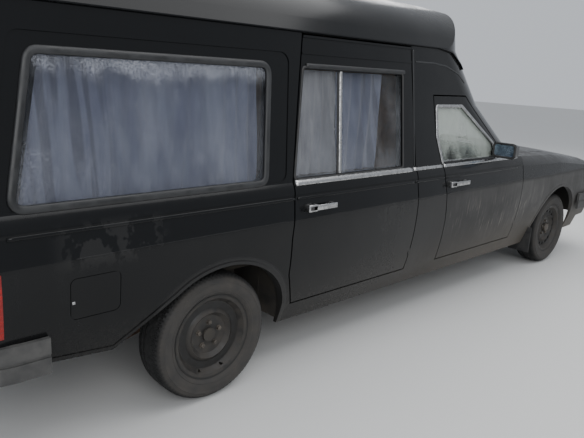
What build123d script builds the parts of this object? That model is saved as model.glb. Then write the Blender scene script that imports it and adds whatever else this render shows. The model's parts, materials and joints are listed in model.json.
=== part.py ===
import os
from math import cos, radians, sin, sqrt

from build123d import *

os.makedirs("parts", exist_ok=True)

# Whole vehicle: X forward, Y left, Z up, origin on the floor below the middle of its length.
wheelbase = 3425.0
rear_overhang = 1080.0
front_overhang = 850.0
overall_length = wheelbase + rear_overhang + front_overhang
rear_axle_x = rear_overhang - overall_length / 2
front_axle_x = rear_axle_x + wheelbase
half_width = 888.0
body_wall = 60.0
cabin_wall = 42.0
front_wall = 30.0
panel_gap = 8.0
seat_gap = 0.3

# Heights of the body's long lines.
sill_bottom_z = 232.0
door_bottom_z = 335.0
crease_z = 769.0
shoulder_z = 868.0
waist_z = 938.0
header_z = 1285.0
gutter_z = 1613.0
crown_z = 1930.0

# How far each long line stands in from the widest crease.
sill_inset = 92.0
door_bottom_inset = 56.0
belly_inset = 10.0
shoulder_inset = 18.0
waist_inset = 43.0
header_inset = 103.0
gutter_inset = 160.0

# Body ends, without the bumpers.
tail_x = rear_axle_x - 1000.0
tail_corner = 130.0
tail_bow = 30.0
nose_x = front_axle_x + 775.0
nose_corner = 170.0
nose_bow = 45.0
cowl_x = front_axle_x - 745.0

# Glasshouse outline at four heights: z, half width, front middle x, rear middle x.
cabin_front_radius = 400.0
cabin_front_bow = 30.0
cabin_rear_radius = 90.0
cabin_rear_bow = 25.0
cabin_top_z = crown_z + 30.0
gutter_rear_x = rear_axle_x - 885.0
cabin_levels = [
    (waist_z, half_width - waist_inset, front_axle_x - 580, rear_axle_x - 976),
    (header_z, half_width - header_inset, front_axle_x - 1035, rear_axle_x - 929),
    (gutter_z, half_width - gutter_inset, front_axle_x - 1265, gutter_rear_x),
    (cabin_top_z, half_width - gutter_inset, front_axle_x - 1350, gutter_rear_x + 35),
]
roof_crown_radius = 1630.0
roof_shoulder_y = half_width - 388.0
roof_crease_y = half_width - 191.0
roof_crease_z = 1681.0
roof_shoulder_bulge = 27.0
gutter_step = 5.0
gutter_reach = 20.0

# Raised roof seen from the side: the crown falls to a rolled brow, and the tail end is rolled.
roof_fall_x = front_axle_x - 1925.0
roof_brow_x = front_axle_x - 1415.0
roof_brow_z = crown_z - 75.0
roof_nose_x = front_axle_x - 1297.0
roof_nose_z = crown_z - 184.0
roof_fall_bulge = 19.0
roof_brow_bulge = 21.0
roof_tail_roll = 190.0

# Shallow pocket pressed round the big side window: corners in x and z.
pocket_depth = 4.0
pocket_corner = 45.0
pocket_bottom_z = waist_z + 9.0
side_pocket = [
    (rear_axle_x - 868, pocket_bottom_z),
    (rear_axle_x - 752, 1516.0),
    (rear_axle_x + 458, 1516.0),
    (rear_axle_x + 390, pocket_bottom_z),
]

# Front end sections: x, half width, shoulder z, fender top's inset and z, bonnet crown z.
front_sections = [
    (cowl_x, half_width, shoulder_z, 66.0, 932.0, 978.0),
    (front_axle_x - 80, half_width - 6, 852.0, 100.0, 905.0, 948.0),
    (front_axle_x + 480, half_width - 18, 797.0, 108.0, 847.0, 884.0),
    (nose_x + 10, half_width - 34, 742.0, 110.0, 788.0, 812.0),
]
shoulder_bulge = 7.0

# Doors: hinge line on the outermost skin at each door's front edge. The rear shut face turns
# about that line, with a radius for each height: z, radius.
hinge_y = half_width
front_hinge_x = cowl_x - panel_gap
rear_hinge_x = rear_axle_x + 1385.0
rear_door_top_z = 1600.0
front_door_top_z = 1340.0
front_shut = [
    (door_bottom_z, 949.0),
    (600.0, 966.0),
    (waist_z, 1008.0),
    (1100.0, 1064.0),
    (front_door_top_z, 1081.0),
]
rear_shut = [
    (door_bottom_z, 914.0),
    (500.0, 968.0),
    (677.0, 975.0),
    (waist_z, 951.0),
    (rear_door_top_z, 848.0),
]
pillar_slope = [(front_axle_x - 1480, front_door_top_z), (front_axle_x - 1000, waist_z + 22)]

# Window outlines: x and z of the corners of the visible glass, front edge last.
window_top_z = 1448.0
window_bottom_z = 957.0
window_corner = 45.0
side_window = [
    (rear_axle_x - 799, window_bottom_z),
    (rear_axle_x - 688, window_top_z),
    (rear_axle_x + 325, window_top_z),
    (rear_axle_x + 262, window_bottom_z),
]
rear_door_window = [
    (rear_axle_x + 449, window_bottom_z),
    (rear_axle_x + 545, window_top_z),
    (rear_axle_x + 1294, window_top_z),
    (rear_axle_x + 1262, window_bottom_z),
]
front_door_window = [
    (front_axle_x - 1758, window_bottom_z),
    (front_axle_x - 1805, 1110.0),
    (front_axle_x - 1800, header_z - 9),
    (front_axle_x - 1530, header_z - 9),
    (front_axle_x - 1164, 1042.0),
    (front_axle_x - 1128, window_bottom_z),
]
door_window_corner = 12.0
windscreen_half_bottom = half_width - 153.0
windscreen_half_top = half_width - 198.0
windscreen_bottom_z = 975.0
tail_window_bottom_z = 985.0
tail_window_top_z = 1430.0
tail_window_half = half_width - 368.0
tail_window_lean = 40.0
glass_depth = 9.0
glass_thickness = 5.0

# Wheels.
tyre_radius = 290.0
front_wheel_y = half_width - 148.0
rear_wheel_y = half_width - 116.0
kingpin_y = front_wheel_y - 100.0
front_arch_length = 383.0
front_arch_height = 363.0
front_arch_x = front_axle_x - 36.0
rear_arch_length = 369.0
rear_arch_height = 326.0
rear_arch_x = rear_axle_x + 43.0
arch_z = 295.0
arch_lip_width = 14.0
arch_lip_reach = 6.0
lip_inner_y = half_width - 120.0

# Body's lower edge behind the rear wheel: x and z, from the arch's slope to the tail.
tail_edge = [
    (rear_axle_x - 190, 547.0),
    (rear_axle_x - 468, 371.0),
    (rear_axle_x - 715, 395.0),
    (tail_x - 50, 408.0),
]
tail_edge_lift = 1.2

# Tail door.
tailgate_bottom_z = 470.0
tailgate_top_z = gutter_z - panel_gap
tailgate_half_bottom = half_width - 248.0
tailgate_half_top = half_width - 303.0
tail_frame_half = 500.0
tail_hinge_y = 420.0

# Bonnet.
bonnet_rear_x = cowl_x + 190.0
bonnet_front_x = nose_x - 40.0
bonnet_half_rear = half_width - 188.0
bonnet_half_front = half_width - 248.0
bonnet_split_z = 775.0
cowl_half = half_width - 188.0
cowl_bottom_z = 890.0
post_y = half_width - 288.0
nose_split_x = front_axle_x + 560.0
nose_bottom_z = 330.0
bonnet_hinge_y = 560.0
bonnet_hinge_z = 905.0

# Grille: a surround with upright bars.
grille_half = 235.0
grille_bottom_z = 500.0
grille_top_z = 765.0
grille_depth = 75.0
grille_frame = 22.0
bar_pitch = 26.0
bar_width = 6.0
bar_count = 15

# Lamps: x, y and z from and to, on the left-hand side.
tail_lamp = (tail_x - 20, rear_axle_x - 858, half_width - 236, half_width + 20, 535.0, 760.0)
turn_lamp = (front_axle_x + 640, nose_x + 20, half_width - 146, half_width + 20, 585.0, 745.0)
headlamp = (front_axle_x + 690, nose_x + 20, half_width - 528, half_width - 154, 585.0, 745.0)

# Bumpers: low and high edge of each band, and where its ends stop beside the body.
bumper_half = half_width + 5.0
bumper_wall = 45.0
bumper_end_wall = 18.0
bumper_bow = 45.0
bumper_front_corner = 190.0
bumper_rear_corner = 215.0
bumper_groove_height = 12.0
bumper_groove_depth = 5.0
rear_band = (376.0, 508.0)
front_band = (430.0, 560.0)
rear_band_end_x = rear_axle_x - 715.0
front_band_end_x = front_axle_x + 340.0
rear_end_x = rear_axle_x - rear_overhang
front_end_x = front_axle_x + front_overhang
bracket_y = 380.0
bracket_half_width = 30.0
tow_eye_radius = 15.0
tow_eye_thickness = 16.0
tow_eye_drop = 32.0

# Rain gutter on the roof's lower edge, and two ridges pressed above the rear door's glass.
drip_rail_height = 9.0
drip_rail_reach = 12.0
drip_rail_front_x = front_axle_x - 1480.0
ridge_reach = 4.0
header_ridges = [(1515.0, 1525.0), (1589.0, rear_door_top_z)]

# Pull handles: a bar on two feet. Rear and front door: x from, x to, middle z.
door_handles = [
    (rear_axle_x + 484, rear_axle_x + 671, 820.0),
    (front_axle_x - 1735, front_axle_x - 1533, 826.0),
]
handle_skin_y = half_width - shoulder_inset / 2
handle_height = 22.0
handle_reach = 32.0
handle_bar = 12.0
handle_foot = 22.0
handle_root = 15.0
tail_handle_half = 95.0
tail_handle_z = 900.0

# Fuel flap: a groove round it in the right quarter panel.
flap_x = rear_axle_x - 545.0
flap_z = 622.0
flap_length = 190.0
flap_height = 158.0
flap_corner = 25.0
flap_groove = 3.0

# Door hinges: leaves that reach over the gap to the post in front.
hinge_tab = 60.0
hinge_heights = (430.0, 700.0)
hinge_leaf_inset = 26.0
hinge_leaf_thickness = 26.0

# Door mirrors.
mirror_x = front_axle_x - 1235.0
mirror_y = half_width + 67.0
mirror_z = 1015.0
mirror_width = 160.0
mirror_height = 100.0
mirror_depth = 75.0
mirror_corner = 25.0
mirror_foot_length = 140.0
mirror_foot_drop = 45.0
mirror_foot_thickness = 25.0

# Inside and underneath.
floor_z = 255.0
floor_thickness = 20.0
rear_floor_z = 500.0
kick_x = rear_axle_x + 430.0
deck_z = 690.0
deck_thickness = 22.0
deck_legs_x = (rear_axle_x - 600, rear_axle_x + 900)
deck_leg_y = 500.0
deck_leg_half = 20.0
tub_wall = 15.0
tub_top_z = 650.0
tub_inner_y = half_width - 248.0
partition_x = rear_axle_x + 1440.0
partition_thickness = 30.0
partition_top_z = 1560.0
partition_window = (450.0, 1050.0, 1420.0)
bulkhead_x = front_axle_x - 560.0
bulkhead_thickness = 20.0
bulkhead_top_z = 860.0
rail_y = 405.0
rail_z = 370.0
rail_width = 60.0
rail_height = 90.0
inner_fender_y = 445.0
inner_fender_half = 8.0
inner_fender_top_z = 760.0
arm_inset = inner_fender_half + seat_gap
hub_radius = 31.0
hub_clearance = 0.3
hub_end = 46.0
hub_flange_radius = 60.0
hub_flange_out = 25.7
hub_flange_thickness = 12.0
knuckle_half = 20.0
arm_y = 480.0
spring_radius = 55.0
final_drive_radius = 105.0
engine_front_x = front_axle_x + 260.0
engine_length = 620.0
engine_width = 420.0
engine_bottom_z = 290.0
engine_top_z = 760.0
room_side = body_wall + 2 * seat_gap
foot_z = floor_z + floor_thickness + seat_gap

# Front seat, seen from the side: x from the seat's middle, z.
seat_x = front_axle_x - 1330.0
seat_inner_y = 120.0
seat_width = 500.0
seat_side = [
    (-200, foot_z),
    (260, foot_z),
    (310, 520),
    (-120, 470),
    (-260, 1000),
    (-290, 1180),
    (-370, 1180),
    (-360, 960),
]

# Dashboard seen from the side, and the steering wheel's middle, leaning along the column.
dashboard_half = half_width - 168.0
dashboard_side = [
    (front_axle_x - 900, 700),
    (bulkhead_x - bulkhead_thickness - seat_gap, 640),
    (bulkhead_x - bulkhead_thickness - seat_gap, 850),
    (front_axle_x - 880, 900),
]
wheel_centre = (front_axle_x - 1090, 360.0, 850.0)
column_lean = 25.0
column_radius = 34.0
column_length = 240.0
steering_radius = 190.0
steering_grip = 14.0
steering_boss_radius = 70.0
steering_boss_depth = 30.0
spoke_width = 35.0
spoke_depth = 12.0

# Exhaust.
pipe_z = 190.0
pipe_radius = 26.0
pipe_bend = 150.0
silencer_x = rear_axle_x + 900.0
silencer_length = 600.0
silencer_half_width = 110.0
silencer_half_height = 60.0
exhaust_hangers_x = (rear_axle_x + 1000, rear_axle_x + 1400)

# Curtains behind the glass.
curtain_depth = cabin_wall + seat_gap
side_curtain_growth = 14.0
side_curtain_thickness = 20.0
door_curtain_growth = 4.0
door_curtain_thickness = 16.0


def body_section(plane, inset, half, low, shoulder, top, crown):
    """Closed YZ outline of the body, from the sill to the waist."""
    side = half - inset
    crease = shoulder - shoulder_z + crease_z
    knee = low + door_bottom_z - sill_bottom_z
    rise = (top[1] - shoulder, side - shoulder_inset - top[0])
    lean = (rise[0] / sqrt(rise[0]**2 + rise[1]**2), rise[1] / sqrt(rise[0]**2 + rise[1]**2))
    with BuildSketch(plane) as outline:
        with BuildLine():
            for hand in (1, -1):
                Line((0, low), (hand * (side - sill_inset), low))
                Line((hand * (side - sill_inset), low), (hand * (side - door_bottom_inset), knee))
                ThreePointArc(
                    (hand * (side - door_bottom_inset), knee),
                    (hand * (side - belly_inset), (knee + crease) / 2),
                    (hand * side, crease),
                )
                Line((hand * side, crease), (hand * (side - shoulder_inset), shoulder))
                ThreePointArc(
                    (hand * (side - shoulder_inset), shoulder),
                    (hand * ((side - shoulder_inset + top[0]) / 2 + shoulder_bulge * lean[0]),
                     (shoulder + top[1]) / 2 + shoulder_bulge * lean[1]),
                    (hand * top[0], top[1]),
                )
            if crown > top[1]:
                ThreePointArc((-top[0], top[1]), (0, crown), top)
            else:
                Line((-top[0], top[1]), top)
        make_face()
    return outline.sketch


def rounded_plan(plane, half, front, rear, front_radius, front_bow, rear_radius, rear_bow):
    """Closed outline seen from above: straight sides, round corners, bowed ends."""
    front_end = front - front_bow
    rear_end = rear + rear_bow
    front_bend = front_radius * (1 - cos(radians(45)))
    rear_bend = rear_radius * (1 - cos(radians(45)))
    with BuildSketch(plane) as outline:
        with BuildLine():
            ThreePointArc(
                (front_end, front_radius - half), (front, 0), (front_end, half - front_radius)
            )
            ThreePointArc(
                (rear_end, rear_radius - half), (rear, 0), (rear_end, half - rear_radius)
            )
            for hand in (1, -1):
                ThreePointArc(
                    (front_end, hand * (half - front_radius)),
                    (front_end - front_bend, hand * (half - front_bend)),
                    (front_end - front_radius, hand * half),
                )
                Line((front_end - front_radius, hand * half), (rear_end + rear_radius, hand * half))
                ThreePointArc(
                    (rear_end + rear_radius, hand * half),
                    (rear_end + rear_bend, hand * (half - rear_bend)),
                    (rear_end, hand * (half - rear_radius)),
                )
        make_face()
    return outline.sketch


def lower_body(inset):
    """The body below the waist, from the tail to the front doors' hinges."""
    side = half_width - inset
    lid = waist_z if inset == 0 else waist_z + 100
    section = body_section(Plane.YZ.offset(tail_x), inset, half_width, sill_bottom_z - 2 * inset,
                           shoulder_z, (side - waist_inset, waist_z), lid)
    plan = rounded_plan(Plane.XY.offset(-200), side + 5, cowl_x + 900, tail_x + inset, 100, 10,
                        tail_corner - inset, tail_bow)
    with BuildPart() as volume:
        extrude(section, amount=cowl_x - tail_x)
        extrude(plan, amount=waist_z + 600, mode=Mode.INTERSECT)
    return volume.part


def front_body(inset):
    """Fenders, bonnet and nose as one closed form."""
    sections = []
    for x, half, shoulder, top_inset, top_z, crown in front_sections:
        top = (half - inset - top_inset, top_z - inset)
        sections.append(body_section(Plane.YZ.offset(x), inset, half, sill_bottom_z - 2 * inset,
                                     shoulder, top, crown - inset))
    plan = rounded_plan(Plane.XY.offset(-200), half_width - inset + 5, nose_x - inset,
                        cowl_x - 500, nose_corner - inset, nose_bow, 100, 10)
    with BuildPart() as volume:
        loft(sections, ruled=True)
        extrude(plan, amount=waist_z + 600, mode=Mode.INTERSECT)
    return volume.part


def roof_profile(inset):
    """Side view of the space under the roof's crown, brow and tail end."""
    crown = crown_z - inset
    brow = (roof_brow_x - inset, roof_brow_z - inset)
    nose = (roof_nose_x - inset, roof_nose_z - inset)
    slope = (brow[1] - nose[1], nose[0] - brow[0])
    length = sqrt(slope[0]**2 + slope[1]**2)
    roll = roof_tail_roll - inset
    tail = gutter_rear_x + 13 + inset
    with BuildSketch(Plane.XZ) as outline:
        with BuildLine():
            Line((tail + roll, crown), (roof_fall_x, crown))
            ThreePointArc(
                (roof_fall_x, crown),
                ((roof_fall_x + brow[0]) / 2, (crown + brow[1]) / 2 + roof_fall_bulge),
                brow,
            )
            ThreePointArc(
                brow,
                ((brow[0] + nose[0]) / 2 + roof_brow_bulge * slope[0] / length,
                 (brow[1] + nose[1]) / 2 + roof_brow_bulge * slope[1] / length),
                nose,
            )
            Polyline(
                nose,
                (front_axle_x, nose[1] - 1),
                (front_axle_x, 0),
                (tail_x - 200, 0),
                (tail_x - 200, crown - roll - 1),
                (tail, crown - roll),
            )
            ThreePointArc(
                (tail, crown - roll),
                (tail + roll * (1 - cos(radians(45))), crown - roll * (1 - cos(radians(45)))),
                (tail + roll, crown),
            )
        make_face()
    return outline.sketch


def cabin(inset):
    """Glasshouse and raised roof as one closed form."""
    crown = crown_z - inset
    drop = roof_crown_radius - sqrt(roof_crown_radius**2 - roof_shoulder_y**2)
    shoulder = (roof_shoulder_y, crown - drop)
    crease = (roof_crease_y - inset, roof_crease_z)
    middle = (
        (shoulder[0] + crease[0]) / 2 + roof_shoulder_bulge * 0.68,
        (shoulder[1] + crease[1]) / 2 + roof_shoulder_bulge * 0.73,
    )
    wall_y = half_width - gutter_inset - inset
    fall = (crease[1] - gutter_z - gutter_step) / (wall_y - crease[0])
    foot = (wall_y + gutter_reach, gutter_z + gutter_step - gutter_reach * fall)
    levels = []
    for z, half, front, rear in cabin_levels:
        levels.append(rounded_plan(Plane.XY.offset(z), half - inset, front - 1.5 * inset,
                                   rear + inset, cabin_front_radius - inset, cabin_front_bow,
                                   cabin_rear_radius - inset, cabin_rear_bow))
    with BuildSketch(Plane.YZ.offset(tail_x - 100)) as roof_section:
        with BuildLine():
            ThreePointArc((-shoulder[0], shoulder[1]), (0, crown), shoulder)
            for hand in (1, -1):
                ThreePointArc(
                    (hand * shoulder[0], shoulder[1]),
                    (hand * middle[0], middle[1]),
                    (hand * crease[0], crease[1]),
                )
                Polyline(
                    (hand * crease[0], crease[1]),
                    (hand * foot[0], foot[1]),
                    (hand * half_width, foot[1] - 5),
                    (hand * half_width, 0),
                    (0, 0),
                )
        make_face()
    with BuildPart() as volume:
        loft(levels, ruled=True)
        extrude(roof_section.sketch, amount=front_axle_x - tail_x, mode=Mode.INTERSECT)
        extrude(roof_profile(inset), amount=half_width + 50, both=True, mode=Mode.INTERSECT)
    return volume.part


def left_prism(outline, inner_y=5.0):
    """The left-hand space over an XZ outline, from near the middle out past the skin."""
    with BuildPart() as prism:
        extrude(outline, amount=half_width + 200 - inner_y)
    return prism.part


left_plane = Plane.XZ.offset(-half_width - 200)


def window_outline(plane, corners, corner_radius, growth=0.0):
    """A window's corners joined, rounded and grown by its rebate."""
    with BuildSketch(plane) as outline:
        with BuildLine():
            Polyline(*corners, close=True)
        make_face()
        fillet(outline.vertices(), corner_radius)
        if growth:
            offset(amount=growth)
    return outline.sketch


def reach(hinge_x, shut_line, growth=0.0):
    """Everything nearer to a door's hinge line than its rear shut face."""
    with BuildPart() as turned:
        with BuildSketch(Plane.XZ.offset(-hinge_y)):
            with BuildLine():
                low_z, low_radius = shut_line[0]
                high_z, high_radius = shut_line[-1]
                Polyline(
                    (hinge_x, low_z - 60),
                    (hinge_x + low_radius + growth, low_z - 60),
                    *[(hinge_x + radius + growth, z) for z, radius in shut_line],
                    (hinge_x + high_radius + growth, high_z + 60),
                    (hinge_x, high_z + 60),
                    close=True,
                )
            make_face()
        revolve(axis=Axis((hinge_x, hinge_y, 0), (0, 0, 1)))
    return turned.part


def arch_outline(plane, x, length, height, growth=0.0):
    """Wheel arch: half an ellipse with straight sides down past the sill."""
    with BuildSketch(plane) as outline:
        with Locations((x, arch_z)):
            Ellipse(length + growth, height + growth)
        with Locations((x, arch_z / 2 - 100)):
            Rectangle(2 * (length + growth), arch_z + 200)
    return outline.sketch


def front_door_outline(plane, growth=0.0):
    with BuildSketch(plane) as outline:
        with BuildLine():
            Polyline(
                (front_hinge_x, door_bottom_z),
                (front_hinge_x, waist_z),
                (front_hinge_x - 60, waist_z + 12),
                pillar_slope[1],
                pillar_slope[0],
                (front_hinge_x - 1300, front_door_top_z),
                (front_hinge_x - 1300, door_bottom_z),
                close=True,
            )
        make_face()
        if growth:
            offset(amount=growth, kind=Kind.INTERSECTION)
    return outline.sketch


def rear_door_outline(plane, growth=0.0):
    with BuildSketch(plane) as outline:
        with BuildLine():
            Polyline(
                (rear_hinge_x, door_bottom_z),
                (rear_hinge_x, rear_door_top_z),
                (rear_hinge_x - 1200, rear_door_top_z),
                (rear_hinge_x - 1200, door_bottom_z),
                close=True,
            )
        make_face()
        if growth:
            offset(amount=growth, kind=Kind.INTERSECTION)
    return outline.sketch


def roof_outline(plane, inset=0.0):
    """Side view of what the raised roof covers, down to the windscreen's top edge."""
    with BuildSketch(plane) as outline:
        with BuildLine():
            Polyline(
                (tail_x - 50, gutter_z),
                (front_axle_x - 1760, gutter_z),
                (front_axle_x - 1620, gutter_z - 18),
                (front_axle_x - 1500, gutter_z - 85),
                (front_axle_x - 1385, gutter_z - 230),
                (front_axle_x - 1330, header_z),
                (front_axle_x - 700, header_z),
                (front_axle_x - 700, cabin_top_z + 50),
                (tail_x - 50, cabin_top_z + 50),
                close=True,
            )
        make_face()
        if inset:
            offset(amount=-inset, kind=Kind.INTERSECTION)
    return outline.sketch


def tailgate_outline(plane, growth=0.0):
    with BuildSketch(plane) as outline:
        with BuildLine():
            Polyline(
                (-tailgate_half_bottom, tailgate_bottom_z),
                (tailgate_half_bottom, tailgate_bottom_z),
                (tailgate_half_top, tailgate_top_z),
                (-tailgate_half_top, tailgate_top_z),
                close=True,
            )
        make_face()
        if growth:
            offset(amount=growth, kind=Kind.INTERSECTION)
    return outline.sketch


def tailgate_space(growth=0.0):
    with BuildPart() as space:
        extrude(tailgate_outline(Plane.YZ.offset(tail_x - 50), growth), amount=350)
    return space.part


def windscreen_space(growth=0.0):
    with BuildPart() as space:
        with BuildSketch(Plane.YZ.offset(front_axle_x - 1300)):
            with BuildLine():
                Polyline(
                    (-windscreen_half_bottom, windscreen_bottom_z),
                    (windscreen_half_bottom, windscreen_bottom_z),
                    (windscreen_half_top, header_z),
                    (-windscreen_half_top, header_z),
                    close=True,
                )
            make_face()
            if growth:
                offset(amount=growth, kind=Kind.INTERSECTION)
        extrude(amount=1000)
    return space.part


def tail_window_space(growth=0.0):
    corners = [
        (-tail_window_half, tail_window_bottom_z),
        (tail_window_half, tail_window_bottom_z),
        (tail_window_half - tail_window_lean, tail_window_top_z),
        (tail_window_lean - tail_window_half, tail_window_top_z),
    ]
    outline = window_outline(Plane.YZ.offset(tail_x - 50), corners, window_corner, growth)
    with BuildPart() as space:
        extrude(outline, amount=350)
    return space.part


def box(x0, x1, y0, y1, z0, z1):
    """A plain block between two corners, made outside any builder."""
    block = Box(x1 - x0, y1 - y0, z1 - z0, mode=Mode.PRIVATE)
    return Pos((x0 + x1) / 2, (y0 + y1) / 2, (z0 + z1) / 2) * block


def write(piece, name):
    piece.label = name
    export_step(piece, f"parts/{name}.step")


def write_both(piece, name):
    """A left-hand piece and its mirror image, as two solids of one node."""
    with BuildPart() as both:
        add(piece)
        mirror(about=Plane.XZ)
    write(both.part, name)


def write_pair(piece, name):
    """A left-hand piece and its mirror image."""
    write(piece, name + "_left")
    write(mirror(piece, about=Plane.XZ), name + "_right")


lower_skin = lower_body(0)
cabin_skin = cabin(0)
front_skin = front_body(0)

with BuildPart() as lower_shell:
    add(lower_skin)
    add(lower_body(body_wall), mode=Mode.SUBTRACT)

with BuildPart() as cabin_shell:
    add(cabin_skin)
    add(cabin(cabin_wall), mode=Mode.SUBTRACT)

with BuildPart() as front_shell:
    add(front_skin)
    add(front_body(front_wall), mode=Mode.SUBTRACT)

with BuildPart() as glass_layer:
    add(cabin(glass_depth))
    add(cabin(glass_depth + glass_thickness), mode=Mode.SUBTRACT)

side_glass_space = left_prism(window_outline(left_plane, side_window, window_corner), 400)
rear_door_glass_space = left_prism(window_outline(left_plane, rear_door_window, door_window_corner), 400)
front_door_glass_space = left_prism(window_outline(left_plane, front_door_window, door_window_corner), 400)
roof_space = left_prism(roof_outline(left_plane), -half_width)
high_z = cabin_top_z + 50


def rear_arch(growth, inner_y):
    """The rear wheel's arch with the open space under the body's tail."""
    with BuildPart() as space:
        add(left_prism(arch_outline(left_plane, rear_arch_x, rear_arch_length, rear_arch_height, growth),
                       inner_y))
        with BuildSketch(left_plane):
            with BuildLine():
                Polyline(
                    *[(x, z + growth * tail_edge_lift) for x, z in tail_edge],
                    (tail_edge[-1][0], 0),
                    (tail_edge[0][0], 0),
                    close=True,
                )
            make_face()
        extrude(amount=half_width + 200 - inner_y)
    return space.part


def front_arch(growth, inner_y):
    return left_prism(
        arch_outline(left_plane, front_arch_x, front_arch_length, front_arch_height, growth), inner_y
    )


def arch_lip(form, wall, arch, x0, x1):
    """The raised lip round a wheel arch: a band that stands out from the skin and roots in its wall."""
    with BuildPart() as lip:
        add(form(-arch_lip_reach))
        add(arch(arch_lip_width, lip_inner_y), mode=Mode.INTERSECT)
        add(box(x0, x1, lip_inner_y, half_width + 20, sill_bottom_z, waist_z), mode=Mode.INTERSECT)
        add(arch(0.0, lip_inner_y - 10), mode=Mode.SUBTRACT)
        add(form(wall / 2), mode=Mode.SUBTRACT)
    return lip.part


def door_space(outline, hinge_x, shut_line, growth=0.0):
    """The space of a whole door, or with growth its opening in the body."""
    with BuildPart() as space:
        add(left_prism(outline, 300))
        add(reach(hinge_x, shut_line, growth), mode=Mode.INTERSECT)
    return space.part


rear_door_space = door_space(rear_door_outline(left_plane), rear_hinge_x, rear_shut)
rear_opening = door_space(rear_door_outline(left_plane, panel_gap), rear_hinge_x, rear_shut, panel_gap)
front_door_space = door_space(front_door_outline(left_plane), front_hinge_x, front_shut)
front_opening = door_space(front_door_outline(left_plane, panel_gap), front_hinge_x, front_shut, panel_gap)


def hinge_tabs(hinge_x):
    """Leaves of a door's hinges: they reach over the gap to the post in front."""
    outer_y = half_width - hinge_leaf_inset
    with BuildPart() as tabs:
        for z in hinge_heights:
            add(box(hinge_x - panel_gap, hinge_x + panel_gap - seat_gap,
                    outer_y - hinge_leaf_thickness, outer_y, z, z + hinge_tab))
    return tabs.part


def pull_handle(x0, x1, z):
    """A door's pull bar, standing off the skin on two feet."""
    low = z - handle_height / 2
    high = z + handle_height / 2
    outer_y = handle_skin_y + handle_reach
    with BuildPart() as handle:
        add(box(x0, x1, handle_skin_y - handle_root, outer_y, low, high))
        add(box(x0 + handle_foot, x1 - handle_foot, handle_skin_y - 2 * handle_root,
                outer_y - handle_bar, low, high), mode=Mode.SUBTRACT)
    return handle.part


def lamp_space(x0, x1, y0, y1, z0, z1, growth=0.0):
    """The space of one left-hand lamp unit, or with growth its opening in the panels."""
    return box(x0 - growth, x1 + growth, y0 - growth, y1 + growth, z0 - growth, z1 + growth)


with BuildPart() as side_pocket_layer:
    add(cabin(-panel_gap))
    add(cabin(pocket_depth), mode=Mode.SUBTRACT)
    add(left_prism(window_outline(left_plane, side_pocket, pocket_corner), 400), mode=Mode.INTERSECT)

# Side frame: sill, posts, window surround and quarter panel in one pressing.
with BuildPart() as side:
    add(lower_shell.part)
    add(cabin_shell.part)
    add(box(tail_x - 10, cowl_x + 500, 0, half_width + 20, sill_bottom_z - 10, high_z),
        mode=Mode.INTERSECT)
    add(arch_lip(lower_body, body_wall, rear_arch, rear_band_end_x + 10, rear_arch_x + 500))
    add(roof_space, mode=Mode.SUBTRACT)
    add(rear_opening, mode=Mode.SUBTRACT)
    add(front_opening, mode=Mode.SUBTRACT)
    add(side_glass_space, mode=Mode.SUBTRACT)
    add(side_pocket_layer.part, mode=Mode.SUBTRACT)
    add(rear_arch(0.0, 300), mode=Mode.SUBTRACT)
    add(tailgate_space(panel_gap), mode=Mode.SUBTRACT)
    add(windscreen_space(), mode=Mode.SUBTRACT)
    add(box(tail_x - 10, cowl_x + 600, -10, post_y, windscreen_bottom_z - 200, windscreen_bottom_z),
        mode=Mode.SUBTRACT)
    add(box(tail_x - 10, tail_x + 400, -10, tail_frame_half, 0, gutter_z + 1), mode=Mode.SUBTRACT)
    add(lamp_space(*tail_lamp), mode=Mode.SUBTRACT)
write(side.part, "side_left")

with BuildPart() as flap_line:
    with BuildSketch(left_plane):
        with Locations((flap_x, flap_z)):
            RectangleRounded(flap_length, flap_height, flap_corner)
            RectangleRounded(flap_length - 2 * flap_groove, flap_height - 2 * flap_groove,
                             flap_corner - flap_groove, mode=Mode.SUBTRACT)
    extrude(amount=400)
    add(lower_body(flap_groove), mode=Mode.SUBTRACT)

with BuildPart() as side_with_flap:
    add(side.part)
    add(flap_line.part, mode=Mode.SUBTRACT)
write(mirror(side_with_flap.part, about=Plane.XZ), "side_right")

# Raised roof with its sloping front above the windscreen, and a rain gutter along its lower edge.
with BuildPart() as drip_rail:
    add(cabin(-drip_rail_reach))
    add(left_prism(roof_outline(left_plane), 0), mode=Mode.INTERSECT)
    add(left_prism(roof_outline(left_plane, drip_rail_height), -10), mode=Mode.SUBTRACT)
    add(box(gutter_rear_x + 60, drip_rail_front_x, half_width - 400, half_width, header_z, gutter_z + 40),
        mode=Mode.INTERSECT)
    add(cabin(cabin_wall / 2), mode=Mode.SUBTRACT)

with BuildPart() as roof:
    add(cabin_shell.part)
    add(roof_space, mode=Mode.INTERSECT)
    add(drip_rail.part)
    add(mirror(drip_rail.part, about=Plane.XZ))
write(roof.part, "roof")

# Doors, cut from the same skins, each as thick as the wall.
with BuildPart() as ridges:
    add(cabin(-ridge_reach))
    add(rear_door_space, mode=Mode.INTERSECT)
    add(cabin(cabin_wall / 2), mode=Mode.SUBTRACT)

with BuildPart() as rear_door:
    add(lower_shell.part)
    add(cabin_shell.part)
    add(rear_door_space, mode=Mode.INTERSECT)
    for low, high in header_ridges:
        add(ridges.part & box(rear_axle_x - 200, front_axle_x, 0, half_width, low, high))
    add(rear_door_glass_space, mode=Mode.SUBTRACT)
    add(hinge_tabs(rear_hinge_x))
    add(pull_handle(*door_handles[0]))
write_pair(rear_door.part, "rear_door")

with BuildPart() as front_door:
    add(lower_shell.part)
    add(cabin_shell.part)
    add(front_door_space, mode=Mode.INTERSECT)
    add(front_door_glass_space, mode=Mode.SUBTRACT)
    add(hinge_tabs(front_hinge_x))
    add(pull_handle(*door_handles[1]))
write_pair(front_door.part, "front_door")

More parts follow.
